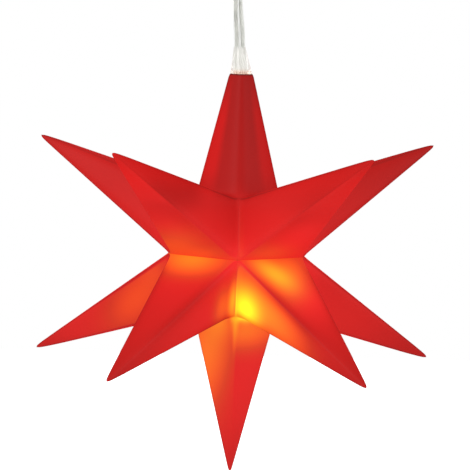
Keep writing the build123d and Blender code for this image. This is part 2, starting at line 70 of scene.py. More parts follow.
star_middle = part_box("upper_shell")[0].z
star_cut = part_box("upper_shell")[1].z
bottom_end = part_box("lower_shell")[0].z
ring_spikes = 5
ring_turn = 2 * math.pi / ring_spikes
flat_share = math.cos(ring_turn / 2)    # a regular outline's flats over its corners
weld = 0.0006 * mm                      # points nearer than this become one


# Settings

def length(name, value, description):
    """A length that a user would change."""
    return FloatProperty(name=name, description=description, default=value, unit="LENGTH",
                         subtype="DISTANCE", min=0.0, precision=5)


def share(name, value, description):
    """A plain number from none to all."""
    return FloatProperty(name=name, description=description, default=value, subtype="FACTOR",
                         min=0.0, max=1.0)


def colour(name, value, description):
    """A colour that a user would change."""
    return FloatVectorProperty(name=name, description=description, default=value, size=3,
                               subtype="COLOR", min=0.0, max=1.0)


def shift(name, value, description):
    """A length that may be negative."""
    return FloatProperty(name=name, description=description, default=value, unit="LENGTH")


def tilt(name, degrees, description):
    """An angle that a user would change."""
    return FloatProperty(name=name, description=description, default=math.radians(degrees),
                         subtype="ANGLE", unit="ROTATION")


def number(name, value, description, least=1):
    """A number of equal things."""
    return IntProperty(name=name, description=description, default=value, min=least)


class StarShape(bpy.types.PropertyGroup):
    side_reach: length("Side reach", 63.7 * mm, "Axis to the end of a side spike")
    side_height: length("Side height", 33.0 * mm, "Middle to the end of a side spike, up or down")
    waist_radius: length("Waist", 20.9 * mm, "Axis to a corner of the waist")
    neck_radius: length("Neck", 13.3 * mm, "Axis to a corner of the foot of the top or bottom spike")
    neck_height: length("Neck height", 17.2 * mm, "Middle to that foot")
    cut_radius: length("Cut radius", 3.75 * mm, "Axis to a corner of the cut end of the top spike")
    bottom_radius: length("Blunt end", 0.4 * mm, "Axis to a corner of the bottom spike's end")
    side_past: length("Tip run", 2.3 * mm, "How far past its end a side spike's planes meet")
    wall: length("Wall", 1.0 * mm, "Thickness of the shells")
    seat_depth: length("Seat", 3.0 * mm, "Solid end of the top spike")
    hole_radius: length("Cone hole", 2.2 * mm, "Radius of the hole for the cone's spigot")
    lap_height: length("Lap height", 1.2 * mm, "Height of the lower shell's step")
    lap_thickness: length("Lap thickness", 0.8 * mm, "Thickness of that step")
    lap_gap: length("Lap gap", 0.15 * mm, "Play round that step")
    groove: length("Seam", 0.12 * mm, "How far the two rims stand back at the seam")
    ridge: length("Ridge", 1.7 * mm, "Softness of a ridge at a spike's foot")
    ridge_tip: length("Ridge at tip", 0.48 * mm, "Softness of a ridge at a side spike's tip")
    ridge_end: length("Ridge at end", 0.31 * mm, "Softness of the bottom spike's ridges at its end")
    ridge_cut: length("Ridge at cut", 0.55 * mm, "Softness of the top spike's ridges at its cut end")
    cut_edge: length("Cut edge", 0.16 * mm, "Softness of the edge round the cut end")
    valley: length("Valley", 0.55 * mm, "Softness of a valley between two spikes")
    plump: share("Plump", 0.85, "How much of a soft ridge stands out to where a sharp one would be")
    edge_columns: number("Columns", 14, "Grid columns on each side of a foot", 4)
    rows: number("Rows", 34, "Grid rows along a spike", 8)


class StarFinish(bpy.types.PropertyGroup):
    red: colour("Red", (0.55, 0.013, 0.011), "Colour of the plastic")
    # Painted shade: the darker red laid over the upper spikes and the top spike
    shade_red: colour("Deep red", (0.34, 0.011, 0.010), "Colour of the plastic of the top spike")
    dull: colour("Dull red", (0.30, 0.016, 0.014), "Colour of the plastic towards the tips")
    # Painted shade laid along ridges and valleys and as outlines on sideways ridges, and the darker
    # line round the cut's rim
    edge: colour("Edge", (0.12, 0.020, 0.017), "Colour of the plastic along its edges")
    roughness: share("Roughness", 0.42, "How satin the plastic is")


class LeadShape(bpy.types.PropertyGroup):
    wire: length("Wire", 1.7 * mm, "Diameter of one covered wire")
    core: length("Core", 0.80 * mm, "Diameter of the strands in a wire")
    web: length("Web", 0.34 * mm, "Half the thickness of the web between the two wires")
    strands: number("Strands", 7, "Strands that show round a core", 3)
    ring_step: length("Step", 0.35 * mm, "Length between two rings of the lead's mesh")


class ConeShape(bpy.types.PropertyGroup):
    foot: length("Foot", 6.6 * mm, "Diameter of the clear cone's foot")
    head: length("Head", 4.0 * mm, "Diameter of its head")
    height: length("Height", 8.0 * mm, "Height of the cone")
    lean: length("Lean", 0.7 * mm, "How far its head stands to the left")
    spigot: length("Spigot", 4.2 * mm, "Diameter of its spigot")
    barb: length("Barb", 1.2 * mm, "Height of the barb under the seat")
    overhang: length("Overhang", 0.35 * mm, "How far the barb stands out")
    thin: length("Thin head", 0.42 * mm, "How much slimmer the cone's head is drawn")
    play: length("Play", 0.05 * mm, "Play of the wires in their bore")


class BoxFinish(bpy.types.PropertyGroup):
    case: colour("Case", (0.78, 0.78, 0.76), "Colour of the battery case")
    cover: colour("Cover", (0.79, 0.79, 0.77), "Colour of the battery cover")
    slot: length("Slot", 7.2 * mm, "Width of the switch's slot")
    letters: length("Letters", 2.6 * mm, "Height of the words beside the switch")
    relief: length("Relief", 0.12 * mm, "How far they stand out")
    bore: length("Grommet bore", 3.9 * mm, "Diameter of the grommet's bore")


class CellShape(bpy.types.PropertyGroup):
    turns: number("Turns", 3, "Turns of a contact spring")
    spring_wire: length("Spring wire", 0.6 * mm, "Diameter of a spring's wire")
    spring_foot: length("Spring foot", 3.3 * mm, "Radius of a spring's foot")
    spring_head: length("Spring head", 2.2 * mm, "Radius of a spring's head")
    spring_height: length("Spring height", 4.3 * mm, "Height of a spring under its cell")
    dead: share("Level turns", 0.55, "How level a spring's first and last turns lie")


class StageSettings(bpy.types.PropertyGroup):
    distance: length("Distance", 955.5 * mm, "Camera to the middle of the star")
    scale: FloatProperty(name="Scale", description="Pixels of the picture to a millimetre",
                         default=3.3)
    turn: tilt("Turn", 1.385, "How far the camera stands to the left")
    rise: tilt("Rise", 5.47, "How far the camera looks down")
    roll: tilt("Roll", 1.656, "How far the camera is turned about its own line")
    right: shift("Right", -0.318 * mm, "How far the camera stands to the right")
    up: shift("Up", 5.423 * mm, "How far the camera stands up")
    floor_drop: length("Floor", 45.0 * mm, "Bottom tip to the floor")
    floor_reach: length("Floor reach", 0.6, "Middle of the floor to its sides")
    light: FloatProperty(name="Room light", description="Strength of the light from all round",
                         default=0.50)


# Shader expressions

class Value:
    """A socket of a finish. Arithmetic on it adds the Math nodes that work it out."""

    def __init__(self, finish, socket):
        self.finish = finish
        self.socket = socket

    def math(self, operation, first, second=0.0):
        return self.finish.node("ShaderNodeMath", {"operation": operation}, {0: first, 1: second})

    def __add__(self, other):
        return self.math("ADD", self, other)

    def __sub__(self, other):
        return self.math("SUBTRACT", self, other)

    def __rsub__(self, other):
        return self.math("SUBTRACT", other, self)

    def __mul__(self, other):
        return self.math("MULTIPLY", self, other)

    def __truediv__(self, other):
        return self.math("DIVIDE", self, other)

    def __pow__(self, other):
        return self.math("POWER", self, other)

    def __neg__(self):
        return self.math("MULTIPLY", self, -1.0)

    __radd__ = __add__
    __rmul__ = __mul__

    def exp(self):
        return self.math("EXPONENT", self)

    def abs(self):
        return self.math("ABSOLUTE", self)

    def sin(self):
        return self.math("SINE", self)

    def at_most(self, other):
        return self.math("MINIMUM", self, other)

    def at_least(self, other):
        return self.math("MAXIMUM", self, other)

    def rise(self, low, high):
        """None below low, all above high and smooth between them."""
        return self.finish.node("ShaderNodeMapRange", {"interpolation_type": "SMOOTHSTEP"},
                                {"Value": self, "From Min": low, "From Max": high})

    def fall(self, low, high):
        """All below low, none above high and smooth between them."""
        return 1 - self.rise(low, high)


class Finish:
    """A procedural material, or the world, with one method that makes any node of it."""

    def __init__(self, name, world=False):
        self.made = (bpy.data.worlds if world else bpy.data.materials).new(name)
        self.made.use_nodes = True
        self.tree = self.made.node_tree
        self.tree.nodes.clear()

    def node(self, kind, settings=None, values=None, output=0):
        """Adds a node: its settings, then its sockets' values or links. Gives one of its outputs."""
        node = self.tree.nodes.new(kind)
        for key, value in (settings or {}).items():
            setattr(node, key, value)
        for key, value in (values or {}).items():
            socket = node.inputs[key]
            if isinstance(value, Value):
                self.tree.links.new(value.socket, socket)
            elif socket.type == "RGBA" and len(value) == 3:
                socket.default_value = (*value, 1.0)
            else:
                socket.default_value = value
        return Value(self, node.outputs[output]) if node.outputs else None

    def place(self):
        """Object coordinates, in metres."""
        return self.node("ShaderNodeTexCoord", output="Object")

    def parts(self, vector):
        """The three parts of a vector."""
        first = self.node("ShaderNodeSeparateXYZ", values={0: vector})
        outputs = first.socket.node.outputs
        return [Value(self, outputs[k]) for k in range(3)]

    def vector_math(self, operation, first, second=(0.0, 0.0, 0.0), output=0):
        """A Vector Math node of one or two vectors."""
        return self.node("ShaderNodeVectorMath", {"operation": operation}, {0: first, 1: second},
                         output)

    def away(self, vector, point):
        """A vector counted from a point."""
        return self.vector_math("SUBTRACT", vector, point)

    def span(self, vector):
        """A vector's length."""
        return self.vector_math("LENGTH", vector, output="Value")

    def along(self, vector, way):
        """How far a vector reaches one way."""
        return self.vector_math("DOT_PRODUCT", vector, way, "Value")

    def mix(self, factor, first, second):
        """From one colour to another."""
        return self.node("ShaderNodeMix", {"data_type": "RGBA"},
                         {0: factor, 6: first, 7: second}, 2)

    def layers(self, shade, *coats):
        """A colour under others, each laid on by its own factor."""
        for factor, tint in coats:
            shade = self.mix(factor, shade, tuple(tint))
        return shade

    def rgb(self, red, green, blue):
        """A colour from its three parts."""
        return self.node("ShaderNodeCombineColor", values={0: red, 1: green, 2: blue})

    def noise(self, size, detail=2.0, stretch=None):
        """Soft noise from none to all, with blots of that size."""
        place = self.place()
        if stretch:
            place = self.node("ShaderNodeMapping", values={"Vector": place, "Scale": stretch})
        return self.node("ShaderNodeTexNoise", values={"Vector": place, "Scale": 1.0 / size,
                                                       "Detail": detail}, output="Fac")

    def attribute(self, name):
        """A number that the mesh carries."""
        return self.node("ShaderNodeAttribute", {"attribute_name": name}, output="Fac")

    def bump(self, height, depth, strength=1.0):
        """A normal from a height, whose whole range is that deep."""
        return self.node("ShaderNodeBump", values={"Height": height, "Distance": depth,
                                                   "Strength": strength})

    def surface(self, **values):
        """The Principled surface, with spaces in socket names written as low lines."""
        named = {key.replace("_", " "): value for key, value in values.items()}
        shader = self.node("ShaderNodeBsdfPrincipled", values=named)
        self.node("ShaderNodeOutputMaterial", values={"Surface": shader})
        return self.made


# Meshes from arrays

def grid_faces(rows, columns, closed=True):
    """Faces of a grid of rows; a closed grid joins its last column to its first."""
    row = np.arange(rows - 1)[:, None] * columns
    column = np.arange(columns if closed else columns - 1)[None, :]
    after = (column + 1) % columns
    return np.stack([row + column, row + after, row + columns + after, row + columns + column],
                    axis=-1).reshape(-1, 4)


def sheet(grid, flip=False, closed=True):
    """A grid of points and its faces, which look the other way if flipped."""
    faces = grid_faces(*grid.shape[:2], closed)
    return grid, faces[:, ::-1] if flip else faces


def round_angles(count):
    """So many even angles round a circle, from none on."""
    return np.linspace(0.0, 2 * math.pi, count, endpoint=False)


def unit(vectors):
    """The vectors with a length of one."""
    return vectors / np.linalg.norm(vectors, axis=-1, keepdims=True)


def join_grids(grids):
    """One list of points and one of faces from several (points, faces)."""
    points, faces, count = [], [], 0
    for grid, quads in grids:
        flat = grid.reshape(-1, 3)
        points.append(flat)
        faces.append(quads + count)
        count += len(flat)
    return np.concatenate(points), np.concatenate(faces)


def add_object(name, data):
    """An object of some data, in the scene."""
    made = bpy.data.objects.new(name, data)
    bpy.context.scene.collection.objects.link(made)
    return made


def add_piece(name, points, faces, finish, smooth=40.0, numbers=None):
    """A mesh object of quads in metres. Doubles are merged, and edges over the angle stay sharp."""
    mesh = bpy.data.meshes.new(name)
    mesh.from_pydata(points.reshape(-1, 3), [], faces)
    for key, values in (numbers or {}).items():
        layer = mesh.attributes.new(key, "FLOAT", "POINT")
        layer.data.foreach_set("value", np.asarray(values, np.float32).ravel())
    work = bmesh.new()
    work.from_mesh(mesh)
    bmesh.ops.remove_doubles(work, verts=work.verts, dist=weld)
    work.to_mesh(mesh)
    work.free()
    mesh.validate()
    mesh.shade_smooth()
    mesh.set_sharp_from_angle(angle=math.radians(smooth))
    mesh.materials.append(finish)
    return add_object(name, mesh)


def fit(piece, body, replaced=None):
    """Says which body a piece rides and which CAD piece it replaces."""
    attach(piece, body)
    if replaced:
        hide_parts(replaced)


def run_along(points):
    """The length of a line up to each of its points."""
    return np.r_[0.0, np.cumsum(np.linalg.norm(np.diff(points, axis=0), axis=1))]


def spline_path(route, step):
    """Evenly spaced points on the smooth curve that has the route as its control points."""
    curve = bpy.data.curves.new("route", "CURVE")
    curve.dimensions = "3D"
    curve.resolution_u = 32
    spline = curve.splines.new("NURBS")
    spline.points.add(len(route) - 1)
    spline.points.foreach_set("co", np.c_[route, np.ones(len(route))].ravel())
    spline.order_u = 3
    spline.use_endpoint_u = True
    holder = bpy.data.objects.new("route", curve)
    line = bpy.data.meshes.new_from_object(holder)
    places = np.empty(len(line.vertices) * 3, np.float32)
    line.vertices.foreach_get("co", places)
    places = places.reshape(-1, 3).astype(float)
    bpy.data.objects.remove(holder)
    bpy.data.curves.remove(curve)
    bpy.data.meshes.remove(line)
    run = run_along(places)
    even = np.linspace(0.0, run[-1], max(int(run[-1] / step), 2) + 1)
    return np.stack([np.interp(even, run, places[:, k]) for k in range(3)], axis=1)


def carried_profile(path, reach, turn=0.0, offset=0.0, side=(1.0, 0.0, 0.0)):
    """A closed profile carried along a path and closed at both ends.

    reach holds the distances from the profile's middle, at even angles, for the whole path or for
    each of its points. turn is the profile's turn at each point, and offset is how far its middle
    stands off the path before that turn. With x = offset + reach cos a and y = reach sin a, turned,
    a point is path + x first + y second, where first is the way across the path nearest to side.
    """
    way = unit(np.gradient(path, axis=0))
    first = unit(np.asarray(side) - way * (way @ np.asarray(side))[:, None])
    second = np.cross(way, first)
    turn = np.broadcast_to(turn, len(path))
    reach = np.broadcast_to(reach, (len(path), np.shape(reach)[-1]))
    angle = round_angles(reach.shape[1])
    across, up = offset + reach * np.cos(angle), reach * np.sin(angle)
    cos, sin = np.cos(turn)[:, None], np.sin(turn)[:, None]
    x, y = across * cos - up * sin, across * sin + up * cos
    rings = path[:, None] + x[..., None] * first[:, None] + y[..., None] * second[:, None]
    ends = np.broadcast_to(rings[[0, -1]].mean(axis=1, keepdims=True), rings[[0, -1]].shape)
    return sheet(np.concatenate([ends[:1], rings, ends[1:]]))


def turned_profile(radii, heights, middle=(0.0, 0.0, 0.0), up=1.0, columns=72, lean=0.0):
    """A profile turned about Z: middle + (lean + r cos a, up r sin a, up z) for every angle a.

    radii holds one radius for each height, or one for each height and angle.
    """
    angle = round_angles(columns)
    radii = np.reshape(radii, (len(heights), -1))
    lean, heights = (np.broadcast_to(values, len(heights))[:, None] + 0 * angle
                     for values in (lean, heights))
    rings = np.stack([lean + radii * np.cos(angle), radii * np.sin(angle) * up, heights * up], axis=-1)
    return sheet(rings + np.asarray(middle))


def rounded(profile, radius, steps=4):
    """A profile of corners (r, z) with each inner corner cut by an arc of about that radius.

    The arc is the curve a (1 - t)^2 + 2 b t (1 - t) + c t^2 through the corner b and the two points
    a and c that lie the radius away from it, or less where a side is short.
    """
    profile = np.asarray(profile, float)
    before, corner, after = profile[:-2], profile[1:-1], profile[2:]
    back, on = before - corner, after - corner
    lengths = [np.linalg.norm(side, axis=1, keepdims=True) for side in (back, on)]
    first, last = (corner + side / span * np.minimum(radius, span * 0.45)
                   for side, span in zip((back, on), lengths))
    t = np.linspace(0.0, 1.0, steps + 1)[None, :, None]
    arcs = (first[:, None] * (1 - t) ** 2 + 2 * corner[:, None] * t * (1 - t)
            + last[:, None] * t ** 2)
    return np.concatenate([profile[:1], arcs.reshape(-1, 2), profile[-1:]]).T


def rounded_frame(half_width, half_height, corner, profile, middle, y):
    """A raised frame in the XZ plane: a closed profile (offset, height) round a rounded rectangle.

    A point is the rectangle's, moved out by the offset, and its height stands towards -Y from y.
    """
    columns = 64
    angle = round_angles(columns) + math.pi / columns
    cos, sin = np.cos(angle), np.sin(angle)
    offset, height = np.asarray(profile).T[:, :, None]
    reach = corner + offset
    x = middle[0] + np.sign(cos) * (half_width - corner) + reach * cos
    z = middle[1] + np.sign(sin) * (half_height - corner) + reach * sin
    rings = np.stack([x, y - height + 0 * x, z], axis=-1)
    return sheet(np.concatenate([rings, rings[:1]]), flip=True)


def repeated(points, faces, places):
    """A small mesh at each of many places."""
    many = points.reshape(1, -1, 3) + np.asarray(places)[:, None]
    count = many.shape[1]
    return many, (faces[None] + count * np.arange(len(many))[:, None, None]).reshape(-1, 4)


def covered_wire(route, wire, core, bare, step, offset=0.0):
    """The cover and the core of a wire along a route, the core bare by so much at each end.

    The core has three low lobes that turn along it: core / 2 (0.93 + 0.07 cos(3 a - lay run / wire)).
    """
    cover_columns, core_columns, lobes, lobe_height, lay = 28, 42, 3, 0.07, 0.8
    path = spline_path(np.array(route) * mm, step)
    run = run_along(path)
    covered = path[(run >= bare[0]) & (run <= run[-1] - bare[1])]
    swell = lobe_height * np.cos(lobes * round_angles(core_columns) - run[:, None] / wire * lay)
    return (carried_profile(covered, np.full(cover_columns, wire / 2), 0.0, offset),
            carried_profile(path, core / 2 * (1 - lobe_height + swell), 0.0, offset))


def wire_pieces(names, wires, cover, core):
    """The covers of some wires as one piece and their cores as another, each with its finish."""
    return [add_piece(name, *join_grids([wire[k] for wire in wires]), finish)
            for k, (name, finish) in enumerate(zip(names, (cover, core)))]


# The star's surface

last_row = 0.9 * mm         # a spike's last row, before its planes meet or before its cut
row_crowding = 1.6          # how much closer the rows lie towards a spike's foot
fan_share = 0.25            # part of a spike over which its rays' starts move onto its own line
ray_past = 2.5 * mm         # how far rays reach past the sharp planes
end_past = 1.0 * mm         # the same at a spike's end
dome_rows = 9
rim_depth = 2.5 * mm        # where the rays to the cut start, under it
rim_parts = (-0.12, 0.0, 0.06, 0.14, 0.26, 0.42, 0.6, 0.8, 1.0)     # rows from the rim to the hole
blunt_run = 1.55 * mm       # how far past the bottom spike's end its planes meet
ridge_mark = 0.6 * mm       # how wide the marks of ridges and valleys are
band_mark = 2.4 * mm        # how wide the wide marks of ridges are


def ring(radius, height, past=0.0):
    """Five points round the axis, the first one so many fifths past the front, towards the right."""
    angle = (np.arange(ring_spikes) + past) * ring_turn
    return np.stack([radius * np.sin(angle), -radius * np.cos(angle),
                     np.full(ring_spikes, height)], axis=1)


class HalfStar:
    """The upper half of a star about its own middle: five side spikes and one pole.

    Each spike is a cone of planes through the sides of its foot and its apex. Its distance is the
    soft maximum r (log(sum(exp(d / r))) - plump log 2) of the distances d from its planes, the pole's
    is the soft maximum of that and of the distance from its cut, and the half star's distance is the
    soft minimum of its spikes' distances. The surface is where that distance is none, and the inner
    wall is where it is minus the wall.
    """

    def __init__(self, s, pole_end, pole_radius, pole_ridge):
        waist, neck = ring(s.waist_radius, 0.0), ring(s.neck_radius, s.neck_height)
        after = np.roll(np.arange(ring_spikes), -1)
        foot_middle = np.array([(s.waist_radius + s.neck_radius) * flat_share, s.neck_height]) / 2
        tip = np.array([s.side_reach, s.side_height])
        run = unit(tip - foot_middle)
        rise = (pole_end - s.neck_height) * s.neck_radius / (s.neck_radius - pole_radius)
        self.feet = [np.array([waist[k], waist[after[k]], neck[after[k]], neck[k]])
                     for k in range(ring_spikes)] + [neck]
        self.apexes = np.concatenate([ring(*(tip + run * s.side_past), 0.5),
                                      [(0.0, 0.0, s.neck_height + rise)]])
        self.middles = np.array([foot.mean(axis=0) for foot in self.feet])
        self.axes = unit(self.apexes - self.middles)
        self.ends = [math.dist(tip, foot_middle)] * ring_spikes + [pole_end - s.neck_height]
        self.soft_tips = np.array([s.ridge_tip] * ring_spikes + [pole_ridge])
        self.ridge, self.valley, self.cut_edge = s.ridge, s.valley, s.cut_edge
        self.plump = s.plump * math.log(2)
        self.pole_end = pole_end
        behind = 0.2 * s.waist_radius          # where a spike's planes end, behind the middle
        most = ring_spikes + 2                 # planes of the pole: its sides, its back and its cut
        self.normals = np.zeros((ring_spikes + 1, most, 3))
        self.offsets = np.full((ring_spikes + 1, most), 1.0)
        spikes = zip(self.feet, self.apexes, self.middles, self.axes)
        for k, (foot, apex, middle, axis) in enumerate(spikes):
            sides = unit(np.cross(np.roll(foot, -1, axis=0) - foot, apex - foot))
            sides *= np.sign(((foot - middle) * sides).sum(axis=1, keepdims=True))
            self.normals[k, :len(foot)] = sides
            self.offsets[k, :len(foot)] = sides @ apex
            self.normals[k, len(foot)] = -axis
            self.offsets[k, len(foot)] = behind
        self.normals[ring_spikes, -1] = (0.0, 0.0, 1.0)

    def planes(self, points, pole_end):
        """Distances of the points from every plane, and how soft each spike's ridges are there."""
        offsets = self.offsets.copy()
        offsets[ring_spikes, -1] = pole_end
        distances = points @ self.normals.reshape(-1, 3).T - offsets.ravel()
        distances = distances.reshape(len(points), ring_spikes + 1, -1)
        out = np.stack([(points - middle) @ axis / end for middle, axis, end
                        in zip(self.middles, self.axes, self.ends)], axis=1)
        soft = self.ridge + (self.soft_tips - self.ridge) * np.clip(out, 0.0, 1.0)
        return distances, soft[..., None]

    def distance(self, points, pole_end):
        """The soft distance of the points from the half star's surface."""
        distances, soft = self.planes(points, pole_end)
        cut = distances[:, -1, -1].copy()
        distances[:, -1, -1] = -1.0
        peak = distances.max(axis=2, keepdims=True)
        joined = np.log(np.exp((distances - peak) / soft).sum(axis=2, keepdims=True)) - self.plump
        spikes = (peak + soft * joined)[..., 0]
        edge = self.cut_edge
        spikes[:, -1] = edge * np.logaddexp(spikes[:, -1] / edge, cut / edge)
        low = spikes.min(axis=1)
        nearness = np.exp((low[:, None] - spikes) / self.valley)
        return low - self.valley * np.log(nearness.sum(axis=1))

    def marks(self, points, narrow, wide):
        """Marks of ridges, wide ridges and valleys: one on the line, less and less away from it.

        A narrow mark is exp(-gap / narrow) and the wide one exp(-(gap / wide)^2), where gap is how
        much further away one of the two planes, or spikes, that meet there is than the other.
        """
        distances = self.planes(points, self.pole_end)[0]
        own = distances.max(axis=2)
        order = np.sort(own, axis=1)
        planes = np.sort(distances[np.arange(len(points)), own.argmin(axis=1)], axis=1)
        gap = planes[:, -1] - planes[:, -2]
        return {"ridge": np.exp(-gap / narrow), "band": np.exp(-(gap / wide) ** 2),
                "valley": np.exp((order[:, 0] - order[:, 1]) / narrow)}

    def solve(self, origins, ways, reach, level, pole_end, also_inside=None):
        """Where rays from inside meet the surface of that level, found by halving."""
        shape = ways.shape[:-1]
        start = np.broadcast_to(origins, ways.shape).reshape(-1, 3)
        ways = unit(ways).reshape(-1, 3)
        low, high = np.zeros(len(ways)), np.broadcast_to(reach, shape).reshape(-1).astype(float)
        for _ in range(30):
            half = (low + high) / 2
            points = start + ways * half[:, None]
            inside = self.distance(points, pole_end) < level
            if also_inside is not None:
                inside |= also_inside(points)
            low, high = np.where(inside, half, low), np.where(inside, high, half)
        return (start + ways * low[:, None]).reshape(*shape, 3)

    def outline(self, k, columns):
        """Points round a spike's foot, closer together beside its corners."""
        foot = self.feet[k]
        sides = np.roll(foot, -1, axis=0) - foot
        part = (1 - np.cos(np.linspace(0.0, math.pi, columns, endpoint=False))) / 2
        return (foot[:, None] + sides[:, None] * part[None, :, None]).reshape(-1, 3)

    def spike_rows(self, k, columns, rows, level, pole_end, hole=None, also_inside=None):
        """A spike's skin as rows of points from its foot to its tip, or to the rim of its hole."""
        foot, axis, middle = self.outline(k, columns), self.axes[k], self.middles[k]
        depth = -(self.normals[k] @ middle - self.offsets[k])[:len(self.feet[k])].min()
        out = 1 + level / depth
        apex = middle + (self.apexes[k] - middle) * out
        if hole is None:
            last = 1 - last_row / depth / out
        else:
            last = (pole_end + level - last_row - middle[2]) / (apex[2] - middle[2])
        along = last * np.linspace(0.0, 1.0, rows)[:, None, None] ** row_crowding
        targets = foot + (apex - foot) * along
        outward = np.clip(along / fan_share, 0.0, 1.0)
        outward = outward * outward * (3 - 2 * outward)
        origins = outward * (middle + (apex - middle) * along)
        ways = targets - origins
        reach = np.linalg.norm(ways, axis=-1) + ray_past
        skin = self.solve(origins, ways, reach, level, pole_end, also_inside)
        origin = origins[-1, 0]
        if hole is None:
            angle = np.linspace(0.0, math.pi / 2, dome_rows)[1:, None, None]
            ways = np.cos(angle) * unit(ways[-1]) + np.sin(angle) * axis
            ways[-1] = axis
            reach = np.linalg.norm(self.apexes[k] - origin) + end_past
        else:
            level_z = pole_end + level
            to_apex = apex - targets[-1]
            rim = targets[-1] + to_apex * (level_z - targets[-1][:, 2:]) / to_apex[:, 2:]
            circle = unit(rim * (1.0, 1.0, 0.0)) * hole + np.array([0.0, 0.0, level_z])
            origin = np.array([0.0, 0.0, level_z - rim_depth])
            ways = rim + (circle - rim) * np.array(rim_parts)[:, None, None] - origin
            reach = np.linalg.norm(ways, axis=-1) + end_past
        end = self.solve(origin, ways, reach, level, pole_end)
        if hole is not None:
            end[-1, :, :2] = circle[:, :2]
        return np.concatenate([skin, end])


def half_star(s, upper):
    """The upper half of the star, or the lower half upside down."""
    if upper:
        return HalfStar(s, star_cut - star_middle, s.cut_radius, s.ridge_cut)
    return HalfStar(s, star_middle - bottom_end, s.bottom_radius, s.ridge_end)


def shell_surface(s, upper):
    """Points, faces and marks of one shell of the star, with both walls and the seam's lap."""
    half = half_star(s, upper)
    free_end = half.pole_end + (0.0 if upper else blunt_run)
    columns, rows = s.edge_columns, s.rows
    corner = half.solve(np.zeros(3), half.feet[0][:1], s.waist_radius, -s.wall, free_end)
    inner_waist = np.linalg.norm(corner)

    def in_rebate(points):
        """Inside the five-sided recess that takes the lower shell's step."""
        corners = ring(1.0, 0.0)[:, :2]
        flats_ways = (corners + np.roll(corners, -1, axis=0)) / (2 * flat_share)
        across = (points[:, :2] @ flats_ways.T).max(axis=1)
        flats = (inner_waist + s.lap_thickness + s.lap_gap) * flat_share
        return (across < flats) & (points[:, 2] < s.lap_height + s.lap_gap)

    grids, edges = [], []
    for k in range(ring_spikes if upper else ring_spikes + 1):
        outer = half.spike_rows(k, columns, rows, 0.0, free_end)
        cut_back = in_rebate if upper else None
        inner = half.spike_rows(k, columns, rows, -s.wall, free_end, None, cut_back)
        if k < ring_spikes:
            waist = outer[0, :columns + 1]
            waist[:, :2] *= 1 - s.groove / np.linalg.norm(waist[:, :2], axis=1, keepdims=True)
            edges.append((waist.copy(), inner[0, :columns + 1].copy()))
        grids += [sheet(outer), sheet(inner, flip=True)]
    if upper:
        roof = half.pole_end - s.seat_depth
        outer = half.spike_rows(ring_spikes, columns, rows, 0.0, free_end, s.hole_radius)
        inner = half.spike_rows(ring_spikes, columns, rows, -s.wall, roof + s.wall, s.hole_radius)
        grids.append(sheet(np.concatenate([outer, inner[::-1]])))
    widen = np.array([(inner_waist + s.lap_thickness) / inner_waist] * 2 + [1.0])
    for outside, inside in edges:
        if upper:
            strip = np.stack([inside, outside])
        else:
            down = np.array([0.0, 0.0, s.lap_height])
            strip = np.stack([inside, inside - down, inside * widen - down, inside * widen, outside])
        grids.append(sheet(strip, closed=False))
    points, faces = join_grids(grids)
    marks = half.marks(points, ridge_mark, band_mark)
    if not upper:
        points = points * (1.0, 1.0, -1.0)
        faces = faces[:, ::-1]
    points = points + (0.0, 0.0, star_middle)
    return points, faces, marks


# Places where the lamp shows through, in the front view: the facet's part of the star, its azimuth,
# whether it is the side towards the waist (0), the left (-1) or the right (1) of its spike, how much
# the surface must face that facet's way for the spot to begin, the spot's middle from the middle of
# the star, its half widths, its turn and its strength
light_spots = [
    ("lower", 36, -1, 0.35, (2.8, -15.3), (3.5, 5.7), 14, 1.12),
    ("lower", 36, -1, 0.70, (8.5, -14.3), (12.0, 4.6), -49, 0.22),
    ("lower", 36, 0, 0.75, (10.4, -3.5), (2.3, 6.6), 60, 0.32),
    ("lower", 36, 0, 0.75, (14.9, -4.7), (5.5, 4.6), -36, 0.145),
    ("lower", -36, 0, 0.80, (-13.4, -0.6), (3.4, 8.5), 97, 0.21),
    ("lower", -36, 1, 0.30, (-0.9, -12.6), (1.2, 5.0), -4, 0.34),
    ("lower", -36, 1, 0.70, (-4.0, -14.2), (2.1, 5.2), -8, 0.085),
    ("pole", -36, 0, 0.65, (-7.7, -28.0), (6.0, 20.0), -8, 0.145),
    ("pole", -36, 0, 0.55, (-4.2, -19.0), (3.7, 5.0), 0, 0.085),
    ("pole", 36, 0, 0.65, (3.0, -21.5), (9.0, 5.6), 0, 0.15),
    ("pole", 36, 0, 0.35, (3.2, -17.8), (3.5, 1.6), 0, 0.72),
    ("lower", -108, 1, 0.80, (-29.5, -14.5), (11.5, 6.0), 52, 0.052),
    ("lower", -108, 1, 0.80, (-25.0, -5.5), (4.0, 4.5), 0, 0.020),
    ("upper", -36, 0, 0.80, (-18.5, 3.0), (8.5, 5.5), 12, 0.055),
    ("upper", -36, 0, 0.80, (-9.5, 1.2), (5.5, 2.5), 8, 0.035),
    ("upper", 36, 0, 0.80, (9.0, 2.0), (7.0, 3.0), 0, 0.035),
]
# Red light through the plastic: middles from the middle of the star, reaches and strengths
red_fills = [
    ((0.0, -10.0, -24.0), 52.0, 0.29),
    ((-20.0, -25.0, 8.0), 13.0, 0.20),
    ((20.0, -25.0, 8.0), 13.0, 0.20),
    ((0.0, -8.0, -46.0), 22.0, 0.07),
    ((-44.0, -4.0, -22.0), 20.0, 0.05),
    ((44.0, -4.0, -22.0), 20.0, 0.09),
    ((-38.0, -4.0, 20.0), 18.0, 0.07),
    ((0.0, -16.0, -10.0), 22.0, 0.07),
    ((0.0, -20.9, 0.0), 6.0, 0.13),
    ((0.0, -13.5, 18.5), 3.0, 0.05),
    ((20.5, -27.0, -7.0), 11.0, 0.24),
    ((-50.0, 14.0, 32.0), 15.0, 0.12),
    ((-50.0, 14.0, -24.0), 14.0, 0.13),
    ((22.0, -9.0, -3.0), 7.0, 0.15),
    ((-23.0, -7.0, -5.0), 7.0, 0.06),
]


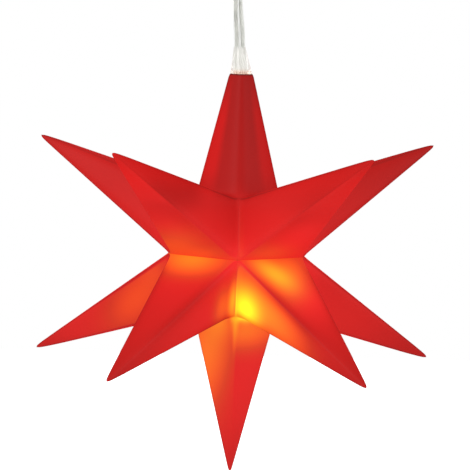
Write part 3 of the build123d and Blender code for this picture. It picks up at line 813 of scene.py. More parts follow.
def facet_way(half, part, azimuth, side):
    """The outward direction of one facet of the star, from the planes of its upper half."""
    fifth = (azimuth - 36) // 72 % ring_spikes
    if part == "pole":
        way = half.normals[ring_spikes, fifth].copy()
    else:
        way = half.normals[fifth, {0: 0, 1: 1, -1: 3}[side]].copy()
    if part != "upper":
        way[2] = -way[2]
    return tuple(way)


def star_red(s, f):
    """Thin satin red plastic with the lamp's light showing through it.

    x, y, z and place are millimetres from the middle of the star. glow is light that reaches yellow,
    fill is red light, and the factors below lower or raise them where the photograph does.
    """
    m = Finish("star_red")
    place = m.vector_math("DIVIDE", m.away(m.place(), (0.0, 0.0, star_middle)), (mm, mm, mm))
    normal = m.node("ShaderNodeTexCoord", output="Normal")
    x, y, z = m.parts(place)
    _, faces_y, faces_z = m.parts(normal)
    ridge, band, valley = m.attribute("ridge"), m.attribute("band"), m.attribute("valley")
    half = half_star(s, True)
    waist_front = (0.0, -s.waist_radius / mm, 0.0)

    def gap(point):
        """How far a place is from a point."""
        return m.span(m.away(place, point))

    def ball(middle, reach):
        """A soft round patch: exp(-(gap / reach)^2)."""
        far = gap(middle) / reach
        return (-(far * far)).exp()

    fifth_slope = 1.1 * math.tan(ring_turn / 2)
    spots = []
    for part, azimuth, side, begin, (at_x, at_z), (wide, high), turn, strength in light_spots:
        cos, sin = math.cos(math.radians(turn)), math.sin(math.radians(turn))
        u = (x - at_x) * (cos / wide) + (z - at_z) * (sin / wide)
        v = (z - at_z) * (cos / high) - (x - at_x) * (sin / high)
        way = facet_way(half, part, azimuth, side)
        facing = m.along(normal, way).rise(begin, 0.5 + begin / 2)
        # A spot stays on the fifth of the star round its facet's azimuth, and a little beyond
        angle = math.radians(azimuth)
        out = m.along(place, (math.sin(angle), -math.cos(angle), 0.0))
        beside = m.along(place, (math.cos(angle), math.sin(angle), 0.0)).abs()
        own_fifth = (beside - out * fifth_slope).fall(0.0, 2.0)
        spots.append((-(u * u + v * v)).exp() * facing * own_fifth * strength)
    glow = sum(spots)
    fill = sum(ball(middle, reach) * strength for middle, reach, strength in red_fills)
    # The facets over the waist that face down catch the lower spikes' light
    under = (-faces_z).rise(0.35, 0.75) * z.rise(12.0, 20.0)
    fill = fill + under * (1 - z.rise(21.0, 33.0) * 0.55) * 0.18
    # Painted shade: the upper side of the left front spike is darker near the top spike, with less lamp
    # light and a darker red
    left_spike_shade = z.rise(13.0, 22.0) * x.rise(-32.0, -24.0) * x.fall(-15.0, -8.0) * (1 - under)
    fill = fill * (1 - left_spike_shade * 0.7)
    # Less light passes along the ridges, most of all along those that face sideways
    off_front = gap(waist_front).rise(3.0, 20.0)
    pole = (x * x + y * y).fall(200.0, 400.0) * z.abs().rise(15.0, 20.0)
    sideways = faces_y.abs().fall(0.40, 0.75)
    rim = (ridge ** 1.5) * sideways
    in_front = y.fall(-16.0, -8.0)
    low_band = band * z.fall(-4.0, 4.0) * z.rise(-26.0, -16.0) * off_front * in_front
    fill = fill * (1 - pole * z.rise(0.0, 1.0) * 0.4) * (1 - low_band * 0.6) * (1 - rim * 0.5)
    # Behind there is one weak even glow round the lamp
    behind = ball((0.0, 4.0, -10.0), 17.0) * y.rise(0.0, 8.0)
    glow = glow * (1 - low_band * 0.7) + behind * 0.10
    # A weak glow already gives all its red, and more of it adds green, up to orange and yellow
    most_red, red_onset, paleness = 0.62, 0.045, 0.035
    hot_red = (1 - (-(glow / red_onset)).exp()) * most_red

    # The strips at both sides of the top spike, which light from behind passes
    spike_height = (half.apexes[-1][2] - s.neck_height) / mm
    spike_radius = (1 - (z - s.neck_height / mm) / spike_height) * (s.neck_radius / mm)
    outer = (x.abs() / spike_radius).rise(0.46, 0.72) * z.rise(16.0, 27.0) * z.fall(40.0, 56.0)
    strip = outer * y.fall(-1.0, 1.0) * (0.20 - x.rise(-2.0, 2.0) * 0.07)
    light = m.rgb(fill.at_least(hot_red) + strip, glow.at_most(1.0) + fill * paleness,
                  fill * paleness + glow * 0.01)

    # The plastic with painted shade: darker over the upper spikes, darkest in the top spike, and shaded
    # along ridges and valleys; duller at the tips and darker round the cut's rim
    tips = m.span(place).rise(42.0, 78.0)
    blots = m.noise(9 * mm, 3.0)
    # Painted shade: the upper spikes darker, the left one more near the top spike, and the top spike
    # darkest
    top = z.rise(12.0, 24.0) * ((left_spike_shade * 0.60 + 0.40) * (1 - tips) * (1 - pole) + pole)
    lamp_side = gap((1.5, -15.0, -15.0)).fall(4.0, 9.0)
    cut_level = (star_cut - star_middle) / mm
    cut_rim = z.rise(cut_level - 0.6, cut_level - 0.2)
    body = m.layers(
        tuple(f.red),
        (top * (0.50 + x.rise(-3.0, 3.0) * 0.10), f.shade_red),
        (tips * 0.32, f.dull),
        ((blots - 0.5).abs() * 0.25, f.dull),
        # Painted shade along the ridges, as an outline on the ridges that face sideways, and in the
        # valleys
        ((ridge ** 2.0) * (0.02 + off_front * 0.10) * (1 - pole * 0.8), f.edge),
        (rim * 0.50, f.edge),
        ((valley ** 4.0) * 0.16 * (1 - lamp_side), f.edge),
        (cut_rim * 0.8, f.edge))
    grain = m.noise(0.45 * mm, 2.0) * 0.6 + m.noise(2.5 * mm, 1.0)
    return m.surface(
        Base_Color=body,
        Roughness=m.noise(4 * mm, 2.0) * 0.10 + (f.roughness - 0.05),
        IOR=1.46,
        Specular_IOR_Level=0.0,
        Coat_Weight=(1 - sideways * 0.8) * 0.14,
        Coat_Roughness=f.roughness,
        Normal=m.bump(grain, 0.012 * mm, 0.3),
        Emission_Color=light,
        Emission_Strength=1.0)


def clear_plastic(name, tint, roughness, haze=0.25, grain=0.5, run=0.12, glow=0.0, foot=None):
    """Clear plastic with faint streaks along Z that passes some lamp light on, warmer near the foot."""
    m = Finish(name)
    streaks = m.noise(grain * mm, 2.0, stretch=(1.0, 1.0, run))
    shade = m.mix(streaks.rise(0.35, 0.75) * haze, tint, tuple(0.72 * c for c in tint))
    light = (1.0, 0.98, 0.93)
    if foot:
        # Painted light: the star's lamp shows orange through the foot, laid into its colour as well as
        # its glow
        near = m.parts(m.place())[2].fall(foot + 0.3 * mm, foot + 1.4 * mm)
        shade = m.mix(near * 0.7, shade, (1.0, 0.84, 0.70))
        light = m.mix(near, light, (1.0, 0.50, 0.34))
    return m.surface(Base_Color=shade, Roughness=streaks * 0.08 + roughness, IOR=1.5,
                     Transmission_Weight=0.97, Normal=m.bump(streaks, 0.03 * mm, 0.5),
                     Emission_Color=light, Emission_Strength=glow)


def moulded(name, tint, roughness, grain=0.30, depth=0.010):
    """Moulded plastic with a fine eroded texture, faint flow marks and a little dust."""
    m = Finish(name)
    flow = m.noise(14 * mm, 2.0, stretch=(1.0, 1.0, 0.3))
    dust = m.noise(1.2 * mm, 4.0).rise(0.55, 0.85)
    shade = m.mix(flow * 0.12 + dust * 0.06, tint, tuple(0.80 * c for c in tint))
    fine = m.noise(grain * mm, 3.0)
    return m.surface(Base_Color=shade, Roughness=flow * 0.10 + fine * 0.08 + roughness,
                     Specular_IOR_Level=0.4, Normal=m.bump(fine, depth * mm, 0.8))


def metal(name, tint, roughness, grain=(1.0, 1.0, 0.1)):
    """Drawn or plated metal with fine lines along its grain and some tarnish."""
    m = Finish(name)
    lines = m.noise(0.12 * mm, 3.0, stretch=grain)
    tarnish = m.noise(2.2 * mm, 3.0).rise(0.45, 0.8)
    shade = m.mix(tarnish * 0.35 + lines * 0.15, tint, tuple(0.55 * c for c in tint))
    return m.surface(Base_Color=shade, Metallic=1.0,
                     Roughness=lines * 0.15 + tarnish * 0.15 + roughness,
                     Normal=m.bump(lines, 0.004 * mm, 0.6))


def cell_jacket(cell_length, pitch):
    """A cell's printed sleeve with a band and plain plus and minus marks, and its bare ends."""
    m = Finish("cell_jacket")
    x, y, _ = m.parts(m.place())
    along = m.attribute("along")
    bare = 1 - along.rise(0.010, 0.013) * along.fall(0.972, 0.974)
    seal = along.rise(0.9745, 0.9750) * along.fall(0.9772, 0.9777)
    band = along.rise(0.700, 0.704)
    line = along.rise(0.680, 0.683) * along.fall(0.690, 0.693)

    # Marks on the side towards the back of the box: two crossed bars for plus, one for minus
    across = m.node("ShaderNodeMath", {"operation": "WRAP"},
                    {0: x, 1: pitch / 2, 2: -pitch / 2}).abs() / mm
    thin, wide, soft = 0.35, 1.5, 0.1
    plus_up = (along - 0.86).abs() * (cell_length / mm)
    minus_up = (along - 0.10).abs() * (cell_length / mm)

    def bar(up, half_width, half_height):
        """One printed bar round the middle line of its cell."""
        return across.fall(half_width, half_width + soft) * up.fall(half_height, half_height + soft)

    plus = bar(plus_up, wide, thin).at_least(bar(plus_up, thin, wide))
    ink = plus.at_least(bar(minus_up, wide, thin)) * y.rise(0.0, 0.5 * mm)
    dust = m.noise(3 * mm, 4.0)
    sleeve = m.layers(
        (0.020, 0.055, 0.105),
        (dust * 0.3, (0.030, 0.070, 0.120)),
        (band, (0.55, 0.57, 0.58)),
        (line.at_least(ink * (1 - band)), (0.62, 0.64, 0.65)),
        (ink * band, (0.020, 0.045, 0.085)),
        (bare, (0.66, 0.66, 0.64)),
        (seal, (0.03, 0.03, 0.03)))
    lines = m.noise(0.2 * mm, 2.0)
    return m.surface(Base_Color=sleeve, Metallic=bare * (1 - seal),
                     Roughness=lines * 0.1 + dust * 0.1 + 0.22,
                     Normal=m.bump(lines, 0.003 * mm, 0.5))


def board_green(low, high):
    """Solder mask over a grid of copper tracks, with bare laminate at the board's edges."""
    m = Finish("board_green")
    x, y, z = m.parts(m.place())
    weave = m.noise(0.15 * mm, 2.0)
    u, v = (x - low.x) / mm, (z - low.z) / mm
    wave = m.noise(3.5 * mm, 0.0, stretch=(1.0, 0.0, 1.0))
    across, upright = 0.9, 1.3              # half of how far apart the tracks lie, in millimetres
    tracks = ((u + wave * 6.0) * (math.pi / across)).sin().rise(0.35, 0.6)
    tracks = tracks.at_least(((v + wave * 6.0) * (math.pi / upright)).sin().rise(0.75, 0.9))
    mask = m.layers((0.010, 0.085, 0.028), (tracks * 0.55, (0.030, 0.190, 0.060)),
                    (weave * 0.2, (0.008, 0.060, 0.022)))
    edge = 1 - (y - low.y).rise(0.02 * mm, 0.05 * mm) * (high.y - y).rise(0.02 * mm, 0.05 * mm)
    shade = m.mix(edge, (0.42, 0.38, 0.22), mask)
    return m.surface(Base_Color=shade, Roughness=weave * 0.12 + 0.30, Coat_Weight=edge * 0.5,
                     Normal=m.bump(tracks + weave * 0.2, 0.03 * mm, 0.6))


def banded_resistor(low, high):
    """Enamel with plain colour bands."""
    m = Finish("resistor_body")
    part = (m.parts(m.place())[0] - low.x) / (high.x - low.x)
    bands = ((0.14, (0.16, 0.05, 0.015)), (0.36, (0.02, 0.02, 0.02)), (0.54, (0.50, 0.02, 0.015)),
             (0.84, (0.55, 0.38, 0.08)))
    shade = m.layers(
        (0.32, 0.42, 0.46), (m.noise(0.4 * mm, 2.0) * 0.4, (0.24, 0.33, 0.38)),
        *(((part - middle).abs().fall(0.035, 0.045), tint) for middle, tint in bands))
    return m.surface(Base_Color=shade, Roughness=m.noise(0.3 * mm, 2.0) * 0.1 + 0.28,
                     Coat_Weight=0.4)


def lit_epoxy():
    """The lamp's warm white lens, brightest round the chip in its middle."""
    m = Finish("lens_epoxy")
    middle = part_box("led_lens")[0].lerp(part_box("led_lens")[1], 0.62)
    near = (m.span(m.away(m.place(), tuple(middle))) / mm).fall(0.8, 4.5)
    shade = m.mix(m.noise(0.8 * mm, 1.0) * 0.3, (1.0, 0.93, 0.75), (0.9, 0.82, 0.6))
    return m.surface(Base_Color=shade, Roughness=m.noise(0.5 * mm, 1.0) * 0.04 + 0.04, IOR=1.54,
                     Transmission_Weight=0.8, Emission_Strength=2.0,
                     Emission_Color=m.mix(near, (0.50, 0.20, 0.03), (1.0, 0.80, 0.40)))


def dress(material, *names):
    """Gives kept pieces of the frame their finish."""
    for name in names:
        slots = nodes[name].material_slots
        if not slots:
            nodes[name].data.materials.append(material)
        for slot in slots:
            slot.material = material


# Operators

class STAR_OT_stage(bpy.types.Operator):
    """Camera, lamps, floor and background"""
    bl_idname = "star.stage"
    bl_label = "Stage"

    def execute(self, context):
        s = context.scene.star_stage
        scene = context.scene
        scene.view_settings.view_transform = "Standard"

        # The camera stands back from the middle of the star, and turn, rise and roll aim it
        camera = bpy.data.cameras.new("camera")
        camera.sensor_width = sensor_width
        camera.lens = s.scale * s.distance / mm / picture_size * sensor_width
        camera.clip_start, camera.clip_end = 0.05, 50.0
        holder = add_object("camera", camera)
        middle = Vector((0.0, 0.0, star_middle))
        aim = (Matrix.Rotation(-s.turn, 4, "Z") @ Matrix.Rotation(math.pi / 2 - s.rise, 4, "X")
               @ Matrix.Rotation(s.roll, 4, "Z"))
        back = Matrix.Translation((s.right, s.up, s.distance))
        holder.matrix_world = Matrix.Translation(middle) @ aim @ back
        scene.camera = holder

        # Soft lamps: from the left in front, from the right, and weakly from behind
        for name, way, size, power in (
                ("left_lamp", (-0.75, -0.80, 0.55), 0.8, 5.2),
                ("right_lamp", (0.95, -0.55, 0.25), 0.7, 2.4),
                ("back_lamp", (0.10, 1.00, 0.60), 0.9, 2.0)):
            lamp = bpy.data.lights.new(name, "AREA")
            lamp.shape = "DISK"
            lamp.size = size
            lamp.energy = power
            stand = add_object(name, lamp)
            stand.location = middle + Vector(way)
            stand.rotation_euler = (-Vector(way)).to_track_quat("-Z", "Y").to_euler()

        # White all round for the camera, for reflections and through clear plastic, dimmer as light
        w = Finish("room", world=True)
        camera_ray, through_ray, glossy_ray = (
            w.node("ShaderNodeLightPath", output="Is " + kind + " Ray")
            for kind in ("Camera", "Transmission", "Glossy"))
        dim, white = (
            w.node("ShaderNodeBackground", values={"Color": (1.0, 1.0, 1.0), "Strength": strength})
            for strength in (s.light, 1.0))
        either = w.node("ShaderNodeMixShader", values={
            0: camera_ray.at_least(through_ray).at_least(glossy_ray), 1: dim, 2: white})
        w.node("ShaderNodeOutputWorld", values={"Surface": either})
        scene.world = w.made

        # The floor, which keeps the shadow under the star and brightens to white further out
        level, rows = bottom_end - s.floor_drop, 25
        side = np.linspace(-s.floor_reach, s.floor_reach, rows)
        x, y = np.meshgrid(side, side)
        points = np.stack([x, y, np.full_like(x, level)], axis=-1)
        m = Finish("floor_pale")
        grain = m.noise(60 * mm, 2.0)
        far = m.span(m.away(m.place(), (0.0, 0.0, level))).rise(0.10, 0.34)
        lift = m.node("ShaderNodeLightPath", output="Is Camera Ray") * (far * 0.6 + 0.30)
        m.surface(Base_Color=m.mix(grain * 0.2, (0.90, 0.90, 0.90), (0.86, 0.86, 0.86)),
                  Roughness=0.9, Specular_IOR_Level=0.1, Emission_Strength=1.0,
                  Emission_Color=m.rgb(lift, lift, lift))
        floor = add_piece("floor", *sheet(points, closed=False), m.made)
        return {"FINISHED"}


class STAR_OT_lead(bpy.types.Operator):
    """The clear twin lead between the star and the battery box, with its two stranded cores"""
    bl_idname = "star.lead"
    bl_label = "Hanging lead"

    def execute(self, context):
        s = context.scene.star_lead
        route = np.array([
            (-0.7, 0, -115.8),
            (-0.7, 0, -112.3),
            (-1.5, 0, -105.3),
            (-1.7, 0, -98.3),
            (-0.9, 0, -91.3),
            (0, 0, -86.1),
            (0, 0, -81.8),
        ]) * mm
        path = spline_path(route, s.ring_step)
        part = np.linspace(0.0, 1.0, len(path))
        turn = math.pi * part ** 1.6            # half a turn, which starts slowly
        clear = clear_plastic("clear_lead", (0.965, 0.97, 0.95), 0.05, haze=0.2, glow=0.03)
        tinned = metal("tinned_core", (0.72, 0.73, 0.69), 0.42)

        # Two circles that touch, joined by a web: the root of (wire cos a)^2 + (web sin a)^2
        angle = round_angles(64)
        twin = np.hypot(s.wire * np.cos(angle), s.web * np.sin(angle))
        jacket = add_piece("lead_jacket", *carried_profile(path, twin, turn), clear)

        # A round profile with one lobe a strand, which turns along the path
        angle = round_angles(8 * s.strands)
        full_turn, lobe_height = 9 * s.wire, 0.14
        lay = 2 * math.pi / full_turn * s.ring_step * np.arange(len(path))[:, None]
        lobes = np.abs(np.cos(s.strands / 2 * (angle - lay)))
        lobes = s.core / 2 * (1 - lobe_height + lobe_height * lobes)
        cores = [carried_profile(path, lobes, turn, side * s.wire / 2) for side in (-1, 1)]
        core = add_piece("lead_cores", *join_grids(cores), tinned)
        for piece in (jacket, core):
            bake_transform(piece)
        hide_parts("hanging_lead")
        return {"FINISHED"}


class STAR_OT_shells(bpy.types.Operator):
    """The two red shells of the star"""
    bl_idname = "star.shells"
    bl_label = "Star shells"

    def execute(self, context):
        s, f = context.scene.star_shape, context.scene.star_finish
        red = star_red(s, f)
        for node, upper in (("upper_shell", True), ("lower_shell", False)):
            points, faces, marks = shell_surface(s, upper)
            piece = add_piece(node + "_moulded", points, faces, red, 35.0, marks)
            fit(piece, "star", node)
        return {"FINISHED"}


class STAR_OT_cone(bpy.types.Operator):
    """The clear moulded cone that holds the lead in the top spike"""
    bl_idname = "star.cone"
    bl_label = "Cable cone"

    def execute(self, context):
        s, lead = context.scene.star_cone, context.scene.star_lead
        foot = star_cut
        head = foot + s.height
        seat_end = foot - context.scene.star_shape.seat_depth
        barb_end = seat_end - s.barb
        foot_radius, spigot = s.foot / 2, s.spigot / 2
        wide = spigot + s.overhang
        bevel, foot_side = 0.08 * mm, 0.45 * mm
        sharp, barb_start, barb_side = 0.02 * mm, 0.10 * mm, 0.30 * mm      # down from the seat's end

        # Outside from the head down as (radius, height): the slope, the foot, the spigot and the barb
        rise = np.linspace(1.0, 0.0, 17)[:, None]
        flare = (1 - rise) ** 1.35
        slim = np.clip(rise * 3 - 2, 0, 1) ** 1.5
        slope = np.concatenate([(s.head + (s.foot - s.head) * flare - s.thin * slim) / 2,
                                foot + s.height * rise], axis=1)
        outside = np.concatenate([slope[:-1], [
            (foot_radius, foot + foot_side), (foot_radius, foot + bevel), (foot_radius - bevel, foot),
            (spigot, foot), (spigot, seat_end), (spigot, seat_end - sharp),
            (wide, seat_end - barb_start), (wide, seat_end - barb_side),
            (spigot - 0.1 * mm, barb_end)]])

        # It leans to the left on its way up and is uneven round its axis by 1.2 per cent
        columns = 96
        angle = round_angles(columns)
        lean = -s.lean * np.clip((outside[:, 1] - foot) / s.height, 0.0, 1.0)
        swell = 1 + 0.012 * np.cos(5 * angle + 1.0) * (outside[:, 1:] > foot)
        skin, _ = turned_profile(outside[:, :1] * swell, outside[:, 1], columns=columns, lean=lean)

        # The wires' bore from the barb up, two circles side by side, whose lean ends below the head
        lean_end = 0.69 * s.height
        height = np.array([barb_end, foot, foot + 0.55 * s.height, head])
        lean = -s.lean * np.clip((height - foot) / lean_end, 0.0, 1.0)
        reach = np.hypot(lead.wire * np.cos(angle), lead.web * np.sin(angle)) + s.play
        reach = np.maximum(reach, np.abs(np.sin(angle)) * (lead.wire / 2 + s.play))
        bore, _ = turned_profile(np.tile(reach, (len(height), 1)), height, columns=columns, lean=lean)
        rings = sheet(np.concatenate([skin, bore, skin[:1]]), flip=True)
        clear = clear_plastic("clear_cone", (0.99, 0.995, 0.97), 0.04, haze=0.25, grain=0.40,
                              run=0.2, glow=0.09, foot=foot)
        fit(add_piece("cone_clear", *rings, clear, 50.0), "star", "cable_cone")
        return {"FINISHED"}


class STAR_OT_light(bpy.types.Operator):
    """The star's wires and its lamp"""
    bl_idname = "star.light"
    bl_label = "Lamp"

    def execute(self, context):
        s = context.scene.star_lead
        route = np.array([
            (-0.7, 0, 62.3),
            (-0.7, 0, 59.8),
            (0, 0, 54.3),
            (0, 0, 50.1),
            (0.96, -1.1, 27.6),
            (1.6, -2.2, 14.6),
            (1.6, -2.2, 3.2),
        ]) + (0.0, 0.0, star_middle / mm)
        off_middle = s.wire / 2 + 0.01 * mm
        bare = (0.0, 2.5 * mm)
        wires = [covered_wire(route, s.wire, s.core, bare, s.ring_step, side * off_middle)
                 for side in (-1, 1)]
        materials = bpy.data.materials
        covers, cores = wire_pieces(("star_wire_covers", "star_wire_cores"), wires,
                                    materials["clear_lead"], materials["tinned_core"])
        fit(covers, "star", "star_wires")
        fit(cores, "star")

        # Lens: a round end, a straight body and a flange, from the end up
        low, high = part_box("led_lens")
        middle = (low + high) / 2
        radius, tall, flange = 2.5 * mm, high.z - low.z, (high.x - low.x) / 2
        flange_height, bevel = 1.0 * mm, 0.1 * mm
        turn = np.linspace(0.0, math.pi / 2, 14)
        radii = np.r_[radius * np.sin(turn), radius * 1.01, flange, flange, flange - bevel, 0.0]
        heights = np.r_[radius * (1 - np.cos(turn)), tall - flange_height - 0.05 * mm,
                        tall - flange_height, tall - bevel, tall, tall]
        lens = add_piece("lamp_lens", *turned_profile(radii, heights, (middle.x, middle.y, low.z)),
                         lit_epoxy())
        fit(lens, "star", "led_lens")

        # Inside it the cup that holds the chip, and the post beside it, both as (radius, height)
        tinned = metal("tinned_pins", (0.60, 0.60, 0.57), 0.30)
        cup = [(0.0, 0.9), (0.35, 0.9), (0.9, 0.0), (1.05, 0.0), (1.05, 0.5), (0.45, 1.6),
               (0.25, 1.8), (0.25, 4.6), (0.0, 4.6)]
        post = [(0.0, 0.6), (0.5, 0.6), (0.6, 1.0), (0.25, 1.9), (0.25, 4.6), (0.0, 4.6)]
        frames = [turned_profile(*np.array(profile).T * mm,
                                 (middle.x + beside * mm, middle.y, low.z + 3.4 * mm), columns=20)
                  for profile, beside in ((cup, 0.45), (post, -1.15))]
        fit(add_piece("lamp_frame", *join_grids(frames), tinned, 30.0), "star")
        dress(tinned, "led_pins")
        dress(clear_plastic("clear_sleeve", (0.86, 0.87, 0.86), 0.18, haze=0.4), "led_sleeve")
        return {"FINISHED"}


class STAR_OT_box(bpy.types.Operator):
    """The battery box's case, cover, switch and grommet, with plain marks"""
    bl_idname = "star.box"
    bl_label = "Battery box"

    def execute(self, context):
        s = context.scene.star_box
        dress(moulded("case_white", tuple(s.case), 0.36), "battery_case")
        dress(moulded("cover_white", tuple(s.cover), 0.34), "battery_cover")
        dress(moulded("knob_black", (0.022, 0.022, 0.024), 0.38), "switch_knob")
        dress(metal("switch_can", (0.56, 0.56, 0.54), 0.32, (0.1, 1.0, 1.0)), "switch_body")
        mark = bpy.data.materials["case_white"]

        # A raised frame round the switch's slot, whose profile is (offset, height)
        low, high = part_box("switch_knob")
        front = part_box("battery_case")[0].y
        middle_z = (low.z + high.z) / 2
        half = (s.slot / 2, (high.z - low.z) / 2 + 0.2 * mm)
        profile = np.array([(0.35, -0.05), (0.35, 0.12), (0.47, 0.24), (0.83, 0.24), (0.95, 0.12),
                            (0.95, -0.05)]) * mm
        border = rounded_frame(*half, 0.1 * mm, profile, (0.0, middle_z), front)
        fit(add_piece("switch_frame", *border, mark, 30.0), "battery_box")

        # Plain words at both ends of the knob's travel
        words_off = 8.2 * mm                    # from the middle of the slot
        for word, side in (("OFF", -1), ("ON", 1)):
            letters = bpy.data.curves.new(word, "FONT")
            letters.body = word
            letters.size = s.letters
            letters.extrude = s.relief
            letters.align_x, letters.align_y = "CENTER", "CENTER"
            holder = bpy.data.objects.new(word, letters)
            mesh = bpy.data.meshes.new_from_object(holder)
            bpy.data.objects.remove(holder)
            mesh.transform(Matrix.Translation((side * words_off, front, middle_z))
                           @ Matrix.Rotation(math.pi / 2, 4, "X"))
            mesh.materials.clear()
            mesh.materials.append(mark)
            fit(add_object("mark_" + word.lower(), mesh), "battery_box")

        # Bell-mouthed grommet: flange, neck, taper, mouth and back up the bore
        low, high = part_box("lead_grommet")
        wide, neck, bore, top = (high.x - low.x) / 2, 3.2 * mm, s.bore / 2, high.z - low.z
        wall_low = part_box("battery_case")[0].z - low.z
        wall_top = wall_low + 1.6 * mm
        outline = [(bore, top), (wide, top), (wide, wall_top), (neck, wall_top), (neck, wall_low),
                   (wide, wall_low), (wide, wall_low - 0.5 * mm), (2.95 * mm, 0.35 * mm),
                   (2.65 * mm, 0.0), (bore + 0.2 * mm, 0.0), (bore, 1.0 * mm), (bore, top)]
        rings, faces = turned_profile(*rounded(outline, 0.25 * mm), (0.0, 0.0, low.z))
        soft = clear_plastic("grommet_clear", (0.84, 0.85, 0.83), 0.22, haze=0.4)
        grommet = add_piece("grommet_bell", rings, faces[:, ::-1], soft)
        fit(grommet, "battery_box", "lead_grommet")
        return {"FINISHED"}


class STAR_OT_cells(bpy.types.Operator):
    """The three cells with their springs and sheet contacts"""
    bl_idname = "star.cells"
    bl_label = "Cells and contacts"

    def execute(self, context):
        s = context.scene.star_cells
        names = ["battery_cell_" + str(k + 1) for k in range(3)]
        corners = [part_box(name) for name in names]
        cell_length = corners[0][1].z - corners[0][0].z
        radius = (corners[0][1].x - corners[0][0].x) / 2
        jacket = cell_jacket(cell_length, corners[1][0].x - corners[0][0].x)
        steel = metal("spring_steel", (0.58, 0.57, 0.55), 0.24, (1.0, 1.0, 1.0))

        # From the middle of the flat end to the middle of the button, as (radius, height)
        e, r = cell_length / mm, radius / mm
        outline = [(0.0, 0.18), (r - 2.2, 0.18), (r - 1.9, 0.0), (r - 0.9, 0.0), (r - 0.35, 0.12),
                   (r - 0.22, 0.45), (r - 0.08, 0.5), (r, 0.62), (r, e - 2.0), (r - 0.06, e - 1.45),
                   (r - 0.6, e - 1.12), (r - 1.0, e - 1.18), (r - 2.6, e - 1.2), (r - 2.7, e - 0.9),
                   (1.9, e - 0.86), (1.88, e - 0.1), (1.7, e), (0.0, e)]
        radii, heights = rounded(np.array(outline) * mm, 0.08 * mm, 2)
        columns = 64
        springs = []
        for k, (low, high) in enumerate(corners):
            up = 1.0 if k != 1 else -1.0        # the middle cell stands the other way round
            end = low.z if up > 0 else high.z
            middle = (low + high) / 2
            foot = (middle.x, middle.y, end)
            along = np.repeat(heights / cell_length, columns)
            cell = add_piece("cell_" + str(k + 1), *turned_profile(radii, heights, foot, up, columns),
                             jacket, 30.0, {"along": along})
            fit(cell, "battery_box", names[k])

            # A spring's line: radius from foot to head, height with nearly level turns at both ends
            part = np.linspace(0.0, 1.0, 40 * s.turns + 1)
            turn = 2 * math.pi * s.turns * part
            reach = s.spring_foot + (s.spring_head - s.spring_foot) * part
            rise = part - s.dead * np.sin(2 * math.pi * part) / (2 * math.pi)
            clear = s.spring_wire / 2 + 0.05 * mm       # the line's ends to the contact and the cell
            height = clear + (s.spring_height - 2 * clear) * rise
            line = np.stack([reach * np.cos(turn), up * reach * np.sin(turn),
                             up * (height - s.spring_height)], axis=1)
            springs.append(carried_profile(line + foot, np.full(12, s.spring_wire / 2),
                                           side=(0.0, 0.0, 1.0)))
        coils = add_piece("cell_springs", *join_grids(springs), steel, 60.0)
        fit(coils, "battery_box", "contact_springs")
        dress(metal("plate_nickel", (0.62, 0.60, 0.55), 0.26, (0.1, 1.0, 1.0)), "contact_plates")
        return {"FINISHED"}


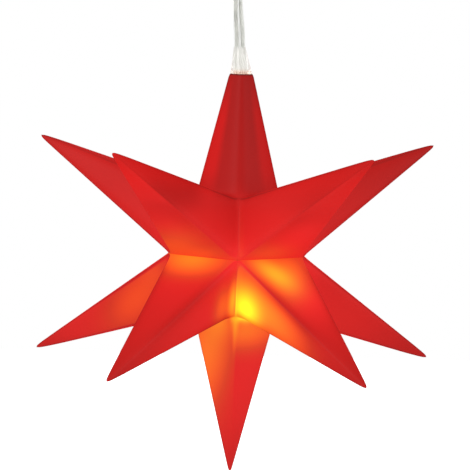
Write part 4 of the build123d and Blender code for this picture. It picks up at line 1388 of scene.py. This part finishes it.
class STAR_OT_timer(bpy.types.Operator):
    """The timer board, what is soldered to it, its cover and the wires in the box"""
    bl_idname = "star.timer"
    bl_label = "Timer"

    def execute(self, context):
        s = context.scene.star_lead
        board_low, board_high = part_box("timer_board")
        dress(board_green(board_low, board_high), "timer_board")
        dress(moulded("chip_black", (0.018, 0.018, 0.019), 0.45, grain=0.2, depth=0.008), "timer_chip")
        dress(metal("crystal_can", (0.64, 0.64, 0.62), 0.22, (0.1, 1.0, 1.0)), "timer_crystal")
        dress(banded_resistor(*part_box("series_resistor")), "series_resistor")
        dress(moulded("inner_cover_white", (0.70, 0.70, 0.68), 0.45), "bay_cover")
        dress(metal("screw_steel", (0.52, 0.52, 0.50), 0.30, (1.0, 0.1, 1.0)), "bay_screws")
        tinned = bpy.data.materials["tinned_core"]

        # Wire from the far contact down to the board
        route = [
            (5.5, -6.0, -7.2),
            (5.5, -6.0, -24.0),
            (5.5, -6.0, -42.0),
            (5.5, -6.0, -57.0),
            (5.5, -6.0, -62.8),
            (5.5, -2.3, -62.8),
        ]
        thick, core_thick, bare, step = 1.2 * mm, 0.6 * mm, (1.5 * mm, 1.0 * mm), 0.6 * mm
        wires = [covered_wire(route, thick, core_thick, bare, step)]
        red = moulded("red_wire", (0.45, 0.012, 0.010), 0.35, grain=0.5, depth=0.006)
        wire, strands = wire_pieces(("contact_wire", "contact_wire_core"), wires, red, tinned)
        fit(wire, "battery_box", "battery_wire")
        fit(strands, "battery_box")

        # The lead's two wires inside the box
        wires = []
        for x in (-0.86, 0.86):
            route = [(x, 0.0, z) for z in (-81.8, -78.0, -74.0, -70.0, -66.2)]
            wires.append(covered_wire(route, s.wire, s.core, (0.0, 1.4 * mm), s.ring_step * 2))
        covers, cores = wire_pieces(("box_wire_covers", "box_wire_cores"), wires,
                                    bpy.data.materials["clear_lead"], tinned)
        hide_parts("box_wires")
        for piece in (covers, cores):
            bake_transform(piece)

        # Solder joints on the board's front
        dome = turned_profile(np.array([0.0, 0.55, 0.5, 0.32, 0.0]) * mm,
                              np.array([0.0, 0.0, 0.16, 0.34, 0.4]) * mm, columns=14)
        flat = dome[0][..., [0, 2, 1]] * (1.0, -1.0, 1.0)
        chip_low, chip_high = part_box("timer_chip")
        offsets = np.linspace(chip_low.z + 0.6 * mm, chip_high.z - 0.6 * mm, 4)
        places = [(x, board_low.y, z) for z in offsets
                  for x in (chip_low.x - 0.5 * mm, chip_high.x + 0.3 * mm)]
        joints = add_piece("board_joints", *repeated(flat, dome[1], places), tinned, 50.0)
        fit(joints, "battery_box")
        return {"FINISHED"}


class STAR_PT_panel(bpy.types.Panel):
    """The star's pieces and their settings"""
    bl_label = "Lit hanging star"
    bl_idname = "STAR_PT_panel"
    bl_space_type = "VIEW_3D"
    bl_region_type = "UI"
    bl_category = "Star"

    def draw(self, context):
        for operator in operators:
            self.layout.operator(operator.bl_idname)
        for group in groups:
            box = self.layout.box()
            settings = getattr(context.scene, group)
            for key in settings.bl_rna.properties.keys():
                if key not in ("rna_type", "name"):
                    box.prop(settings, key)


groups = {
    "star_shape": StarShape,
    "star_finish": StarFinish,
    "star_lead": LeadShape,
    "star_cone": ConeShape,
    "star_box": BoxFinish,
    "star_cells": CellShape,
    "star_stage": StageSettings,
}
operators = [STAR_OT_stage, STAR_OT_lead, STAR_OT_shells, STAR_OT_cone, STAR_OT_light, STAR_OT_box,
             STAR_OT_cells, STAR_OT_timer]


def register():
    for kind in (*groups.values(), *operators, STAR_PT_panel):
        bpy.utils.register_class(kind)
    for name, kind in groups.items():
        setattr(bpy.types.Scene, name, PointerProperty(type=kind))


def unregister():
    for name in groups:
        delattr(bpy.types.Scene, name)
    for kind in (STAR_PT_panel, *reversed(operators), *reversed(list(groups.values()))):
        bpy.utils.unregister_class(kind)


def main():
    register()
    for operator in operators:
        area, name = operator.bl_idname.split(".")
        getattr(getattr(bpy.ops, area), name)()


if __name__ == "__main__":
    main()
